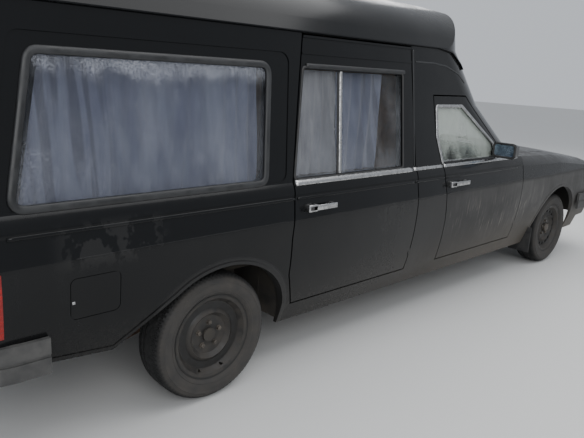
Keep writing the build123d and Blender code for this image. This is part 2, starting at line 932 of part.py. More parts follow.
with BuildPart() as tailgate:
    add(lower_shell.part)
    add(cabin_shell.part)
    add(tailgate_space(), mode=Mode.INTERSECT)
    add(tail_window_space(), mode=Mode.SUBTRACT)
    for hand in (1, -1):
        middle = hand * tail_hinge_y
        add(box(gutter_rear_x + 20, gutter_rear_x + 40, middle - 40, middle + 40,
                tailgate_top_z - 12, gutter_z - seat_gap))
    add(box(tail_x - handle_reach, tail_x + handle_root, -tail_handle_half, tail_handle_half,
            tail_handle_z - handle_height / 2, tail_handle_z + handle_height / 2))
    add(box(tail_x - handle_reach + handle_bar, tail_x - 1, handle_foot - tail_handle_half,
            tail_handle_half - handle_foot, tail_handle_z - handle_height, tail_handle_z + handle_height),
        mode=Mode.SUBTRACT)
write(tailgate.part, "tailgate")


def glass_pane(space):
    """The part of the glass layer that shows in one window, a seat's gap inside its frame."""
    with BuildPart() as pane:
        add(glass_layer.part)
        add(space, mode=Mode.INTERSECT)
    return pane.part


def door_pane(corners, corner_radius):
    """A side window's glass."""
    return glass_pane(left_prism(window_outline(left_plane, corners, corner_radius, -seat_gap), 400))


write_both(door_pane(side_window, window_corner), "side_windows")
write_pair(door_pane(rear_door_window, door_window_corner), "rear_door_glass")
write_pair(door_pane(front_door_window, door_window_corner), "front_door_glass")
write(glass_pane(tail_window_space(-seat_gap)), "tailgate_glass")
write(glass_pane(windscreen_space(-seat_gap)), "windscreen")


# Front end: fender, bonnet, nose panel, grille and lamps.
def bonnet_outline(plane, growth=0.0):
    with BuildSketch(plane) as outline:
        with BuildLine():
            Polyline(
                (bonnet_rear_x, -bonnet_half_rear),
                (bonnet_rear_x, bonnet_half_rear),
                (bonnet_front_x, bonnet_half_front),
                (bonnet_front_x, -bonnet_half_front),
                close=True,
            )
        make_face()
        if growth:
            offset(amount=growth, kind=Kind.INTERSECTION)
    return outline.sketch


def bonnet_space(growth=0.0):
    with BuildPart() as space:
        extrude(bonnet_outline(Plane.XY.offset(bonnet_split_z), growth), amount=400)
    return space.part


with BuildPart() as bonnet:
    add(front_shell.part)
    add(bonnet_space(), mode=Mode.INTERSECT)
    for hand in (1, -1):
        middle = hand * bonnet_hinge_y
        add(box(bonnet_rear_x - panel_gap + seat_gap, bonnet_rear_x + 8, middle - 30, middle + 30,
                bonnet_hinge_z, bonnet_hinge_z + 20))
write(bonnet.part, "bonnet")

with BuildPart() as post_feet:
    add(cabin(-seat_gap))
    add(box(cowl_x - 400, front_axle_x, -post_y, post_y, 0, high_z), mode=Mode.SUBTRACT)

with BuildPart() as fender:
    add(front_shell.part)
    add(box(cowl_x, nose_split_x, 300, half_width + 20, sill_bottom_z, high_z), mode=Mode.INTERSECT)
    add(bonnet_space(panel_gap), mode=Mode.SUBTRACT)
    add(box(cowl_x - 10, bonnet_rear_x + panel_gap, 0, cowl_half, cowl_bottom_z, high_z),
        mode=Mode.SUBTRACT)
    add(arch_lip(front_body, front_wall, front_arch, cowl_x, nose_split_x))
    add(front_arch(0.0, 300), mode=Mode.SUBTRACT)
    add(post_feet.part, mode=Mode.SUBTRACT)
write_pair(fender.part, "fender")

with BuildPart() as nose:
    add(front_shell.part)
    add(box(nose_split_x, nose_x + 10, -half_width, half_width, nose_bottom_z, high_z), mode=Mode.INTERSECT)
    add(bonnet_space(panel_gap), mode=Mode.SUBTRACT)
    add(box(nose_split_x + 60, nose_x + 10, -grille_half, grille_half, grille_bottom_z, grille_top_z),
        mode=Mode.SUBTRACT)
    for lamp in (headlamp, turn_lamp):
        add(lamp_space(*lamp), mode=Mode.SUBTRACT)
        add(mirror(lamp_space(*lamp), about=Plane.XZ), mode=Mode.SUBTRACT)
write(nose.part, "nose_panel")


# Cowl between the bonnet and the windscreen: a closed box that carries the windscreen's lower rail.
with BuildPart() as lower_rail:
    add(cabin_shell.part)
    add(box(cowl_x - 300, cowl_x + 500, seat_gap - post_y, post_y - seat_gap, waist_z,
            windscreen_bottom_z - seat_gap), mode=Mode.INTERSECT)

with BuildPart() as cowl:
    add(front_skin)
    add(box(cowl_x, bonnet_rear_x - panel_gap, -cowl_half, cowl_half, cowl_bottom_z, high_z),
        mode=Mode.INTERSECT)
    add(post_feet.part, mode=Mode.SUBTRACT)
    add(lower_rail.part)
write(cowl.part, "cowl")

# Tail below the tail door.
with BuildPart() as rear_panel:
    add(lower_shell.part)
    add(box(tail_x - 10, tail_x + 400, seat_gap - tail_frame_half, tail_frame_half - seat_gap,
            tail_edge[-1][1], tailgate_bottom_z - panel_gap), mode=Mode.INTERSECT)
write(rear_panel.part, "rear_panel")

# Floor pan with wheel tubs, bulkhead, front rails and inner fenders.
with BuildPart() as lower_room:
    add(lower_body(room_side))
    add(front_body(front_wall + seat_gap))

with BuildPart() as floor:
    add(box(kick_x - floor_thickness, bulkhead_x, -half_width, half_width, floor_z,
            floor_z + floor_thickness))
    add(box(kick_x - floor_thickness, kick_x, -half_width, half_width, floor_z, rear_floor_z))
    add(box(tail_x, kick_x, -half_width, half_width, rear_floor_z, rear_floor_z + floor_thickness))
    for hand in (1, -1):
        near = tub_inner_y
        far = half_width
        add(box(rear_arch_x - rear_arch_length - 30, rear_arch_x + rear_arch_length + tub_wall,
                min(hand * near, hand * far), max(hand * near, hand * far), rear_floor_z, tub_top_z))
        near += tub_wall
        add(box(rear_arch_x - rear_arch_length - 15, rear_arch_x + rear_arch_length,
                min(hand * near, hand * far), max(hand * near, hand * far),
                floor_z - 50, tub_top_z - tub_wall), mode=Mode.SUBTRACT)
    add(box(bulkhead_x - bulkhead_thickness, bulkhead_x, -half_width, half_width, floor_z, bulkhead_top_z))
    add(lower_room.part, mode=Mode.INTERSECT)
    for hand in (1, -1):
        middle = hand * rail_y
        add(box(bulkhead_x - 1, nose_split_x + 90, middle - rail_width / 2, middle + rail_width / 2,
                rail_z, rail_z + rail_height))
        middle = hand * inner_fender_y
        add(box(bulkhead_x - 1, nose_split_x, middle - inner_fender_half, middle + inner_fender_half,
                rail_z, inner_fender_top_z))
write(floor.part, "floor_pan")

with BuildPart() as deck:
    add(box(tail_x + 80, partition_x, -half_width, half_width, deck_z - deck_thickness, deck_z))
    add(lower_body(room_side), mode=Mode.INTERSECT)
    for x in deck_legs_x:
        for hand in (1, -1):
            low = rear_floor_z if x < kick_x else floor_z
            middle = hand * deck_leg_y
            add(box(x - deck_leg_half, x + deck_leg_half, middle - deck_leg_half, middle + deck_leg_half,
                    low + floor_thickness + seat_gap, deck_z - 5))
write(deck.part, "load_deck")

with BuildPart() as whole_room:
    add(lower_body(room_side))
    add(cabin(cabin_wall + seat_gap))

with BuildPart() as partition:
    add(box(partition_x + seat_gap, partition_x + partition_thickness, -half_width, half_width,
            foot_z, partition_top_z))
    add(whole_room.part, mode=Mode.INTERSECT)
    half, low, high = partition_window
    add(box(partition_x, partition_x + 2 * partition_thickness, -half, half, low, high),
        mode=Mode.SUBTRACT)
write(partition.part, "partition")

write(box(engine_front_x - engine_length, engine_front_x, -engine_width / 2, engine_width / 2,
          engine_bottom_z, engine_top_z), "engine")


# Wheels: profiles are radius and distance outward from the wheel's middle.
def turned_ring(profile, x, y):
    """A ring turned about the left-hand wheel's axle line."""
    with BuildPart() as ring:
        with BuildSketch(Plane(origin=(x, y, tyre_radius), x_dir=(1, 0, 0), z_dir=(0, 0, 1))):
            with BuildLine():
                Polyline(*profile, close=True)
            make_face()
        revolve(axis=Axis((x, 0, tyre_radius), (0, 1, 0)))
    return ring.part


rim_profile = [
    (194, 74), (194, 68), (180, 64), (162, 36), (162, -44), (180, -66), (194, -68), (194, -74),
    (174, -64), (156, -42), (156, 20), (148, 34), (124, 34), (108, 45), (92, 27),
    (hub_radius + hub_clearance, 26), (hub_radius + hub_clearance, 36), (88, 37), (106, 55),
    (124, 43), (156, 43), (174, 68),
]
tyre_profile = [
    (290, 44), (282, 68), (242, 90), (200, 78), (194.4, 67.6), (180.4, 63.6), (180.4, -65.4),
    (194.4, -67.6), (200, -78), (242, -90), (282, -68), (290, -44),
]
disc_plane_out = 15.0
disc_cut_depth = 45.0


def front_disc_holes():
    """A ring of small round holes."""
    with PolarLocations(138, 16):
        Circle(11)


def rear_disc_slots():
    """Four long slots that follow the rim."""
    for middle in (45, 135, 225, 315):
        SlotArc(CenterArc((0, 0), 147, middle - 22, 44, mode=Mode.PRIVATE), 12)


for place, x, y, openings in (
    ("front", front_axle_x, front_wheel_y, front_disc_holes),
    ("rear", rear_axle_x, rear_wheel_y, rear_disc_slots),
):
    with BuildPart() as rim:
        add(turned_ring(rim_profile, x, y))
        with BuildSketch(Plane.XZ.offset(-y - disc_plane_out)):
            with Locations((x, tyre_radius)):
                openings()
        extrude(amount=-disc_cut_depth, mode=Mode.SUBTRACT)
    write_pair(rim.part, f"rim_{place}")
    write_pair(turned_ring(tyre_profile, x, y), f"tyre_{place}")

# Axles: a hub stub runs in each wheel's bore.
with BuildPart() as knuckle:
    with BuildSketch(Plane.XZ.offset(-(front_wheel_y + hub_end))):
        with Locations((front_axle_x, tyre_radius)):
            Circle(hub_radius)
    extrude(amount=front_wheel_y + hub_end - kingpin_y)
    with BuildSketch(Plane.XZ.offset(-(front_wheel_y + hub_flange_out))):
        with Locations((front_axle_x, tyre_radius)):
            Circle(hub_flange_radius)
    extrude(amount=hub_flange_thickness)
    add(box(front_axle_x - 25, front_axle_x + 25, kingpin_y - knuckle_half, kingpin_y + knuckle_half,
            200, 400))
write_pair(knuckle.part, "knuckle")

with BuildPart() as subframe:
    add(box(front_axle_x - 60, front_axle_x + 60, -rail_y - 30, rail_y + 30, 215, 265))
    for hand in (1, -1):
        middle = hand * rail_y
        add(box(front_axle_x - 40, front_axle_x + 40, middle - 25, middle + 25, 260, rail_z - seat_gap))
        for low, inner in ((165, rail_y + 5), (400 + seat_gap, inner_fender_y + arm_inset)):
            outer = kingpin_y + knuckle_half
            add(box(front_axle_x - 30, front_axle_x + 30, min(hand * inner, hand * outer),
                    max(hand * inner, hand * outer), low, low + 35 - seat_gap))
        add(box(front_axle_x - 40, front_axle_x + 40, hand * 150 - 30, hand * 150 + 30, 260,
                engine_bottom_z - seat_gap))
        middle = hand * (rail_y + 10)
        add(box(front_axle_x - 30, front_axle_x + 30, middle - 15, middle + 15, 165, 230))
write(subframe.part, "front_subframe")

with BuildPart() as rear_axle:
    with BuildSketch(Plane.XZ.offset(-(rear_wheel_y + hub_end))):
        with Locations((rear_axle_x, tyre_radius)):
            Circle(hub_radius)
    extrude(amount=2 * (rear_wheel_y + hub_end))
    for hand in (1, -1):
        with BuildSketch(Plane.XZ.offset(-hand * (rear_wheel_y + hub_flange_out))):
            with Locations((rear_axle_x, tyre_radius)):
                Circle(hub_flange_radius)
        extrude(amount=hand * hub_flange_thickness)
        middle = hand * arm_y
        add(box(rear_axle_x - 20, kick_x - 60, middle - 25, middle + 25, 265, 315))
        add(box(kick_x - 100, kick_x - 60, middle - 25, middle + 25, 265, rear_floor_z - seat_gap))
        with BuildSketch(Plane.XY.offset(300)):
            with Locations((rear_axle_x + 80, middle)):
                Circle(spring_radius)
        extrude(amount=rear_floor_z - seat_gap - 300)
    with BuildSketch(Plane.XZ.offset(-90)):
        with Locations((rear_axle_x, tyre_radius)):
            Circle(final_drive_radius)
    extrude(amount=180)
write(rear_axle.part, "rear_axle")


# Lamps: each fills its opening in the skin.
def lamp_piece(skin, lamp):
    with BuildPart() as unit:
        add(skin)
        add(lamp_space(*lamp, -seat_gap), mode=Mode.INTERSECT)
    return unit.part


write_both(lamp_piece(lower_shell.part, tail_lamp), "tail_lamps")
write_both(lamp_piece(front_shell.part, turn_lamp), "turn_lamps")
write_both(lamp_piece(front_shell.part, headlamp), "headlamps")

# Grille, set in the nose panel.
grille_height = grille_top_z - grille_bottom_z
with BuildPart() as grille:
    with BuildSketch(Plane.YZ.offset(nose_x - grille_depth)):
        with Locations((0, grille_bottom_z + grille_height / 2)):
            Rectangle(2 * grille_half - 2 * seat_gap, grille_height - 2 * seat_gap)
            Rectangle(2 * (grille_half - grille_frame), grille_height - 2 * grille_frame,
                      mode=Mode.SUBTRACT)
            with GridLocations(bar_pitch, 1, bar_count, 1):
                Rectangle(bar_width, grille_height - grille_frame)
    extrude(amount=grille_depth)
write(grille.part, "grille")


# Bumpers wrap round both ends of the body and stand on two brackets each.
def bumper_plan(z, inset, end_inset):
    return rounded_plan(Plane.XY.offset(z), bumper_half - end_inset, front_end_x - inset,
                        rear_end_x + inset, bumper_front_corner - end_inset, bumper_bow,
                        bumper_rear_corner - end_inset, bumper_bow)


def bumper_band(low, high):
    """A band all round the car, with a groove along its middle."""
    groove_z = (low + high - bumper_groove_height) / 2
    with BuildPart() as groove:
        extrude(bumper_plan(groove_z, -1, -1), amount=bumper_groove_height)
        extrude(bumper_plan(groove_z, bumper_groove_depth, bumper_groove_depth),
                amount=bumper_groove_height, mode=Mode.SUBTRACT)
    with BuildPart() as band:
        extrude(bumper_plan(low, 0, 0), amount=high - low)
        extrude(bumper_plan(low, bumper_wall, bumper_end_wall), amount=high - low, mode=Mode.SUBTRACT)
        add(groove.part, mode=Mode.SUBTRACT)
    return band.part


def tow_eye(x, band):
    """A drilled lug below the right-hand bumper bracket."""
    hole = (x, band[0] - tow_eye_drop)
    with BuildPart() as lug:
        with BuildSketch(Plane.XZ.offset(bracket_y - tow_eye_thickness / 2)):
            with Locations(hole):
                Circle(2 * tow_eye_radius)
            with Locations((x, hole[1] + 25)):
                Rectangle(4 * tow_eye_radius, 50)
            with Locations(hole):
                Circle(tow_eye_radius, mode=Mode.SUBTRACT)
        extrude(amount=tow_eye_thickness)
    return lug.part


with BuildPart() as rear_bumper:
    add(bumper_band(*rear_band))
    add(box(rear_end_x - 5, rear_band_end_x, -half_width - 20, half_width + 20, 0, high_z),
        mode=Mode.INTERSECT)
    for hand in (1, -1):
        middle = hand * bracket_y
        add(box(rear_end_x + 30, tail_x + 30, middle - bracket_half_width, middle + bracket_half_width,
                410, 450))
    add(lower_body(-seat_gap), mode=Mode.SUBTRACT)
    add(tow_eye(rear_end_x + 52, rear_band))
write(rear_bumper.part, "bumper_rear")

with BuildPart() as front_bumper:
    add(bumper_band(*front_band))
    add(box(front_band_end_x, front_end_x + 5, -half_width - 20, half_width + 20, 0, high_z),
        mode=Mode.INTERSECT)
    for hand in (1, -1):
        middle = hand * bracket_y
        add(box(nose_x - 30, front_end_x - 30, middle - bracket_half_width, middle + bracket_half_width,
                450, 480))
    add(front_body(-seat_gap), mode=Mode.SUBTRACT)
    add(tow_eye(front_end_x - 50, front_band))
write(front_bumper.part, "bumper_front")

# Door mirror: a housing on a foot at the window's front corner.
mirror_foot_x = mirror_x + mirror_foot_length
with BuildPart() as door_mirror:
    with BuildSketch(Plane.YZ.offset(mirror_x)):
        with Locations((mirror_y, mirror_z)):
            RectangleRounded(mirror_width, mirror_height, mirror_corner)
    extrude(amount=mirror_depth, taper=12)
    add(box(mirror_x + 50, mirror_foot_x, half_width - 100, mirror_y - 40,
            mirror_z - mirror_foot_drop, mirror_z - mirror_foot_drop + mirror_foot_thickness))
    add(cabin(-seat_gap), mode=Mode.SUBTRACT)
write_pair(door_mirror.part, "mirror")

# Front seats, each one closed form of cushion, back and head rest.
with BuildPart() as seat:
    with BuildSketch(Plane.XZ.offset(-seat_inner_y - seat_width)):
        with BuildLine():
            Polyline(*[(seat_x + ahead, z) for ahead, z in seat_side], close=True)
        make_face()
    extrude(amount=seat_width)
write_both(seat.part, "front_seats")

column = (cos(radians(column_lean)), sin(radians(column_lean)))
column_plane = Plane(origin=wheel_centre, x_dir=(0, 1, 0), z_dir=(-column[0], 0, column[1]))
with BuildPart() as dashboard:
    with BuildSketch(Plane.XZ.offset(-dashboard_half)):
        with BuildLine():
            Polyline(*dashboard_side, close=True)
        make_face()
    extrude(amount=2 * dashboard_half)
    with BuildSketch(column_plane.offset(-steering_boss_depth - seat_gap)):
        Circle(column_radius)
    extrude(amount=-column_length)
write(dashboard.part, "dashboard")

with BuildPart() as steering_wheel:
    with BuildSketch(Plane(origin=wheel_centre, x_dir=(0, 1, 0), z_dir=(column[1], 0, column[0]))):
        with Locations((steering_radius, 0)):
            RegularPolygon(steering_grip, 8)
    revolve(axis=Axis(wheel_centre, (-column[0], 0, column[1])))
    with BuildSketch(column_plane.offset(-steering_boss_depth)):
        Circle(steering_boss_radius)
    extrude(amount=steering_boss_depth)
    with BuildSketch(column_plane.offset(-spoke_depth)):
        Rectangle(2 * steering_radius - steering_grip, spoke_width)
    extrude(amount=spoke_depth)
write(steering_wheel.part, "steering_wheel")


# Curtains hang just inside the glass.
def curtain(corners, growth, thickness):
    with BuildPart() as cloth:
        add(cabin(curtain_depth))
        add(cabin(curtain_depth + thickness), mode=Mode.SUBTRACT)
        add(left_prism(window_outline(left_plane, corners, 10, growth), 400), mode=Mode.INTERSECT)
    return cloth.part


write_both(curtain(side_window, side_curtain_growth, side_curtain_thickness), "side_curtains")
write_pair(curtain(rear_door_window, door_curtain_growth, door_curtain_thickness), "curtain_door")

# Exhaust: pipe, silencer and tail pipe.
with BuildPart() as exhaust:
    with BuildLine() as pipe_path:
        FilletPolyline(
            (front_axle_x - 300, -180, pipe_z + 30),
            (rear_axle_x + 420, -180, pipe_z),
            (rear_axle_x - 300, -450, pipe_z + 5),
            (rear_axle_x - 950, -470, pipe_z + 110),
            radius=pipe_bend,
        )
    with BuildSketch(Plane(origin=pipe_path.line @ 0, z_dir=pipe_path.line % 0)):
        Circle(pipe_radius)
    sweep()
    with BuildSketch(Plane.YZ.offset(silencer_x)):
        with Locations((-180, pipe_z)):
            Ellipse(silencer_half_width, silencer_half_height)
    extrude(amount=silencer_length)
    for x in exhaust_hangers_x:
        add(box(x - 15, x + 15, -195, -165, pipe_z + 40, floor_z - seat_gap))
write(exhaust.part, "exhaust")
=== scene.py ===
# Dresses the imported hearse: dusty black paint, frosted glass, curtains, seats, chrome, wheels.
import bpy
import bmesh
import json
import math
from mathutils import Matrix, Vector, noise
from mathutils.bvhtree import BVHTree


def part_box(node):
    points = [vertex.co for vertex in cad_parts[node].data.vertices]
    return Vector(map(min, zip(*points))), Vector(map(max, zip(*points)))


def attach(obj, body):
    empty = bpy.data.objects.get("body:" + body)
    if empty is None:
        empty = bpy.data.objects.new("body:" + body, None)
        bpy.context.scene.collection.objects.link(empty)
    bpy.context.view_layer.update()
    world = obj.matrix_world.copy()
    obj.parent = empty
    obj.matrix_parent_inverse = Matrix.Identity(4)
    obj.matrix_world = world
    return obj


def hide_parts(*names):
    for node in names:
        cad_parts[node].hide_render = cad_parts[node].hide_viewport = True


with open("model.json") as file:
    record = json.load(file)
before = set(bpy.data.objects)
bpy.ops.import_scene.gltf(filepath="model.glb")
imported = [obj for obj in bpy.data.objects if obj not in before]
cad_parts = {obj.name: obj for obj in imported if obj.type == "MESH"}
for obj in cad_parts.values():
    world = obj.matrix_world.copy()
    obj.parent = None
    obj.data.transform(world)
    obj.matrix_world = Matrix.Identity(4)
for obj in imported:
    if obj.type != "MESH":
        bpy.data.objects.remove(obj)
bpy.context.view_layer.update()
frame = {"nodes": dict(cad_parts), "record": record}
nodes = frame["nodes"]
hands = {"left": 1, "right": -1}


def middle(node):
    low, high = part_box(node)
    return (low + high) / 2


rearAxle = middle("tyre_rear_left")
wheelbase = middle("tyre_front_left").x - rearAxle.x


def ahead(length):
    return rearAxle.x + length


# camera: the photograph's standpoint, measured from the rear axle
cameraPlace = {
    "ahead": -1.4086,
    "aside": -2.7679,
    "height": 1.429,
    "heading": 0.806,       # radians from straight ahead
    "pitch": 0.2442,        # looking down
    "roll": 0.0559,
    "lens": 36.2,
    "sensor": 36.0,
    "clip": (0.05, 100),
}


def makeCamera():
    c = cameraPlace
    forward = Vector((math.cos(c["heading"]) * math.cos(c["pitch"]),
                      math.sin(c["heading"]) * math.cos(c["pitch"]), -math.sin(c["pitch"])))
    right = Vector((math.sin(c["heading"]), -math.cos(c["heading"]), 0))
    up = right.cross(forward)
    tiltedRight = right * math.cos(c["roll"]) + up * math.sin(c["roll"])
    tiltedUp = up * math.cos(c["roll"]) - right * math.sin(c["roll"])
    camera = bpy.data.objects.new("camera", bpy.data.cameras.new("camera"))
    bpy.context.scene.collection.objects.link(camera)
    turn = Matrix((tiltedRight, tiltedUp, -forward)).transposed().to_4x4()
    place = Vector((rearAxle.x + c["ahead"], c["aside"], c["height"]))
    camera.matrix_world = Matrix.Translation(place) @ turn
    camera.data.lens = c["lens"]
    camera.data.sensor_width = c["sensor"]
    camera.data.clip_start, camera.data.clip_end = c["clip"]
    bpy.context.scene.camera = camera


makeCamera()
print("camera stands")


# finishes: a few node helpers, then one function for each surface
def startMaterial(name, **sockets):
    material = bpy.data.materials.new(name)
    material.use_nodes = True
    shader = material.node_tree.nodes["Principled BSDF"]
    for socket, value in sockets.items():
        shader.inputs[socket.replace("_", " ")].default_value = value
    return material, material.node_tree, shader


def addNode(tree, kind, **values):
    made = tree.nodes.new("ShaderNode" + kind)
    for name, value in values.items():
        if hasattr(made, name):
            setattr(made, name, value)
        else:
            made.inputs[name.replace("_", " ")].default_value = value
    return made


def places(tree):
    # metres in the vehicle's own frame, so the dirt stays on each panel
    return addNode(tree, "TexCoord").outputs["Object"]


def axis(tree, vector, letter):
    split = addNode(tree, "SeparateXYZ")
    tree.links.new(vector, split.inputs["Vector"])
    return split.outputs[letter]


def stretched(tree, vector, scale):
    mapping = addNode(tree, "Mapping", Scale=scale)
    tree.links.new(vector, mapping.inputs["Vector"])
    return mapping.outputs["Vector"]


def ramp(tree, value, low, high, bottom=0.0, top=1.0):
    spread = addNode(tree, "MapRange", interpolation_type="SMOOTHSTEP", clamp=True)
    for socket, number in (("From Min", low), ("From Max", high), ("To Min", bottom), ("To Max", top)):
        spread.inputs[socket].default_value = number
    tree.links.new(value, spread.inputs["Value"])
    return spread.outputs["Result"]


def grain(tree, vector, scale, low, high, detail=4.0, rough=0.6):
    # noise between two thresholds; settings hold its numbers in this order, from the scale on
    noiseNode = addNode(tree, "TexNoise", Scale=scale, Detail=detail, Roughness=rough)
    tree.links.new(vector, noiseNode.inputs["Vector"])
    return ramp(tree, noiseNode.outputs["Fac"], low, high)


def calc(tree, operation, first, second=0.0, clamp=False):
    made = addNode(tree, "Math", operation=operation, use_clamp=clamp)
    for index, value in enumerate((first, second)):
        if isinstance(value, (int, float)):
            made.inputs[index].default_value = value
        else:
            tree.links.new(value, made.inputs[index])
    return made.outputs["Value"]


def times(tree, first, second):
    return calc(tree, "MULTIPLY", first, second)


def plus(tree, first, second, clamp=False):
    return calc(tree, "ADD", first, second, clamp)


def minus(tree, first, second):
    return calc(tree, "SUBTRACT", first, second)


def scaled(tree, value, gain, least):
    return plus(tree, times(tree, value, gain), least)


def distance(tree, across, rise):
    return calc(tree, "SQRT", plus(tree, times(tree, across, across), times(tree, rise, rise)))


def window(tree, value, low, high, soft):
    # one inside a stretch, zero outside it
    past = ramp(tree, value, low - soft, low + soft)
    return times(tree, past, ramp(tree, value, high - soft, high + soft, 1.0, 0.0))


def tint(tree, factor, first, second):
    made = addNode(tree, "Mix", data_type="RGBA")
    for socket, value in ((0, factor), (6, first), (7, second)):
        if isinstance(value, tuple):
            made.inputs[socket].default_value = (*value, 1)
        else:
            tree.links.new(value, made.inputs[socket])
    return made.outputs[2]


def addBump(tree, shader, height, strength, depth):
    bump = addNode(tree, "Bump", Strength=strength, Distance=depth)
    tree.links.new(height, bump.inputs["Height"])
    tree.links.new(bump.outputs["Normal"], shader.inputs["Normal"])


def dress(tree, shader, colour, roughness):
    tree.links.new(colour, shader.inputs["Base Color"])
    tree.links.new(roughness, shader.inputs["Roughness"])


def bodyPlace(tree):
    # a point of the vehicle, how far it is ahead of the rear axle, and its height
    spot = places(tree)
    return spot, minus(tree, axis(tree, spot, "X"), rearAxle.x), axis(tree, spot, "Z")


# paint: lengths ahead of the rear axle and heights in metres, stretches as start, end and softness
paint = {
    "black": (0.0028, 0.0032, 0.0038),
    "dust": (0.078, 0.076, 0.074),
    "mud": (0.095, 0.084, 0.071),
    "salt": (0.27, 0.245, 0.22),
    "gloss": 0.16,
    "dustyRoughness": 0.6,
    "dustyFrom": 0.5,       # this much dirt makes the paint fully rough
    "shine": 0.24,
    "bump": (0.25, 0.0006),
    "clouds": (2.6, 0.28, 0.74),
    "fine": (60.0, 0.35, 0.75, 3.0),
    "forward": (-0.6, 3.0),     # the dust thickens from here to the front wheel
    "steepness": 2.6,
    "film": {
        "thickness": (0.85, 0.05),
        "crease": (0.745, 0.785),
        "belowCrease": (0.8, 0.2),
        "clouds": (0.55, 0.6),
        "runs": (38.0, 0.42, 0.72),
        "runStretch": (1.0, 1.0, 0.06),
        "runShare": 0.25,
    },
    "settled": {
        "facing": (0.30, 0.95),
        "clouds": (0.10, 0.06),
        "drops": (30.0, 0.50, 0.60, 3.0),
        "dropShade": 0.5,
    },
    # bands round the wheel arches: dust, and a painted highlight on the lip
    "arches": {
        "places": [(0.043, 0.369, 0.326), (3.389, 0.383, 0.363)],   # middle, half length, height
        "foot": 0.295,
        "band": (0.98, 1.09, 0.03),
        "share": 0.16,
    },
    "wiped": {
        "along": (-0.66, -0.28, 0.06),
        "up": (0.74, 0.88, 0.03),
        "patches": (13.0, 0.50, 0.56, 3.0),
        "stretch": (1.0, 0.2, 0.8),
        "share": 0.15,
    },
    "splash": {"up": (0.20, 0.60), "fine": 0.14, "forward": (0.85, 0.06)},      # gain and least
    "brine": {
        "along": (1.75, 3.05, 0.15),
        "up": (0.46, 0.68, 0.06),
        "streaks": (55.0, 0.52, 0.74, 2.0),
        "stretch": (1.0, 0.0, 0.12),
        "patches": (5.0, 0.35, 0.65, 2.0),
        "share": 0.7,
    },
}


def roadFilm(tree, spot, height, forward, cloudy):
    # thick ahead and below the crease, drawn out by rain
    f = paint["film"]
    film = scaled(tree, forward, *f["thickness"])
    film = times(tree, film, scaled(tree, ramp(tree, height, *f["crease"], 1.0, 0.0), *f["belowCrease"]))
    film = times(tree, film, scaled(tree, cloudy, *f["clouds"]))
    runs = grain(tree, stretched(tree, spot, f["runStretch"]), *f["runs"])
    return plus(tree, film, times(tree, times(tree, runs, film), f["runShare"]))


def settledDust(tree, spot, cloudy):
    # lies on what faces up, with dark water marks in it
    s = paint["settled"]
    facing = axis(tree, addNode(tree, "NewGeometry").outputs["Normal"], "Z")
    dust = times(tree, ramp(tree, facing, *s["facing"]), scaled(tree, cloudy, *s["clouds"]))
    drops = grain(tree, spot, *s["drops"])
    return times(tree, dust, minus(tree, 1.0, times(tree, drops, s["dropShade"])))


def archDustAndHighlight(tree, along, height, arch):
    # a lighter band round a wheel arch: dust, and a painted highlight on the flared lip
    a = paint["arches"]
    place, halfLength, high = arch
    across = calc(tree, "DIVIDE", minus(tree, along, place), halfLength)
    rise = calc(tree, "DIVIDE", minus(tree, height, a["foot"]), high)
    return times(tree, window(tree, distance(tree, across, rise), *a["band"]), a["share"])


def wipedPatches(tree, spot, along, height):
    # blotches where the film above the rear wheel has been wiped and has run
    w = paint["wiped"]
    patches = grain(tree, stretched(tree, spot, w["stretch"]), *w["patches"])
    place = times(tree, window(tree, along, *w["along"]), window(tree, height, *w["up"]))
    return times(tree, times(tree, place, patches), w["share"])


def splashedMud(tree, height, forward, fine):
    # low down, and thicker ahead
    m = paint["splash"]
    amount = plus(tree, times(tree, fine, m["fine"]), scaled(tree, forward, *m["forward"]))
    return times(tree, ramp(tree, height, *m["up"], 1.0, 0.0), amount)


def saltRuns(tree, spot, along, height):
    # pale streaks down the doors and the fender
    b = paint["brine"]
    place = times(tree, window(tree, along, *b["along"]), window(tree, height, *b["up"]))
    streaks = grain(tree, stretched(tree, spot, b["stretch"]), *b["streaks"])
    salty = times(tree, times(tree, place, streaks), grain(tree, spot, *b["patches"]))
    return times(tree, salty, b["share"])


def makePaint():
    p = paint
    material, tree, shader = startMaterial("dustyBlackPaint", Specular_IOR_Level=p["shine"])
    spot, along, height = bodyPlace(tree)
    cloudy, fine = grain(tree, spot, *p["clouds"]), grain(tree, spot, *p["fine"])
    forward = calc(tree, "POWER", ramp(tree, along, *p["forward"]), p["steepness"])
    film = roadFilm(tree, spot, height, forward, cloudy)
    film = plus(tree, film, settledDust(tree, spot, cloudy), clamp=True)
    # the arch bands add dust and a painted highlight to the film
    for arch in p["arches"]["places"]:
        film = plus(tree, film, archDustAndHighlight(tree, along, height, arch), clamp=True)
    film = plus(tree, film, wipedPatches(tree, spot, along, height), clamp=True)
    mud = splashedMud(tree, height, forward, fine)
    colour = tint(tree, film, p["black"], p["dust"])
    colour = tint(tree, mud, colour, p["mud"])
    colour = tint(tree, saltRuns(tree, spot, along, height), colour, p["salt"])
    dirt = calc(tree, "MAXIMUM", film, mud, clamp=True)
    dress(tree, shader, colour, ramp(tree, dirt, 0.0, p["dustyFrom"], p["gloss"], p["dustyRoughness"]))
    addBump(tree, shader, times(tree, fine, dirt), *p["bump"])
    return material


# glass: see-through by alpha, with haze over all of it, frost below the top edge and fog at the foot
glass = {
    "clouds": (5.0, 0.25, 0.75),
    "cloudStretch": (1.0, 1.0, 0.5),
    "crystals": (150.0, 0.42, 0.60, 6.0, 0.8),
    "haze": (0.4, 0.3),
    "edge": (9.0, 0.2, 0.8),
    "edgeDepth": 0.055,
    "frost": (1.385, 1.505),        # heights of no frost and of full frost
    "rime": (0.85, 0.15),
    "fog": (0.95, 1.12),            # heights of full fog and of none
    "clean": (0.01, 0.012, 0.012),
    "paleFrom": 0.25,               # this much frost hides the clean glass
    "roughFrom": 0.6,
    "roughness": (0.05, 0.6),
    "bump": (0.10, 0.0005),
}


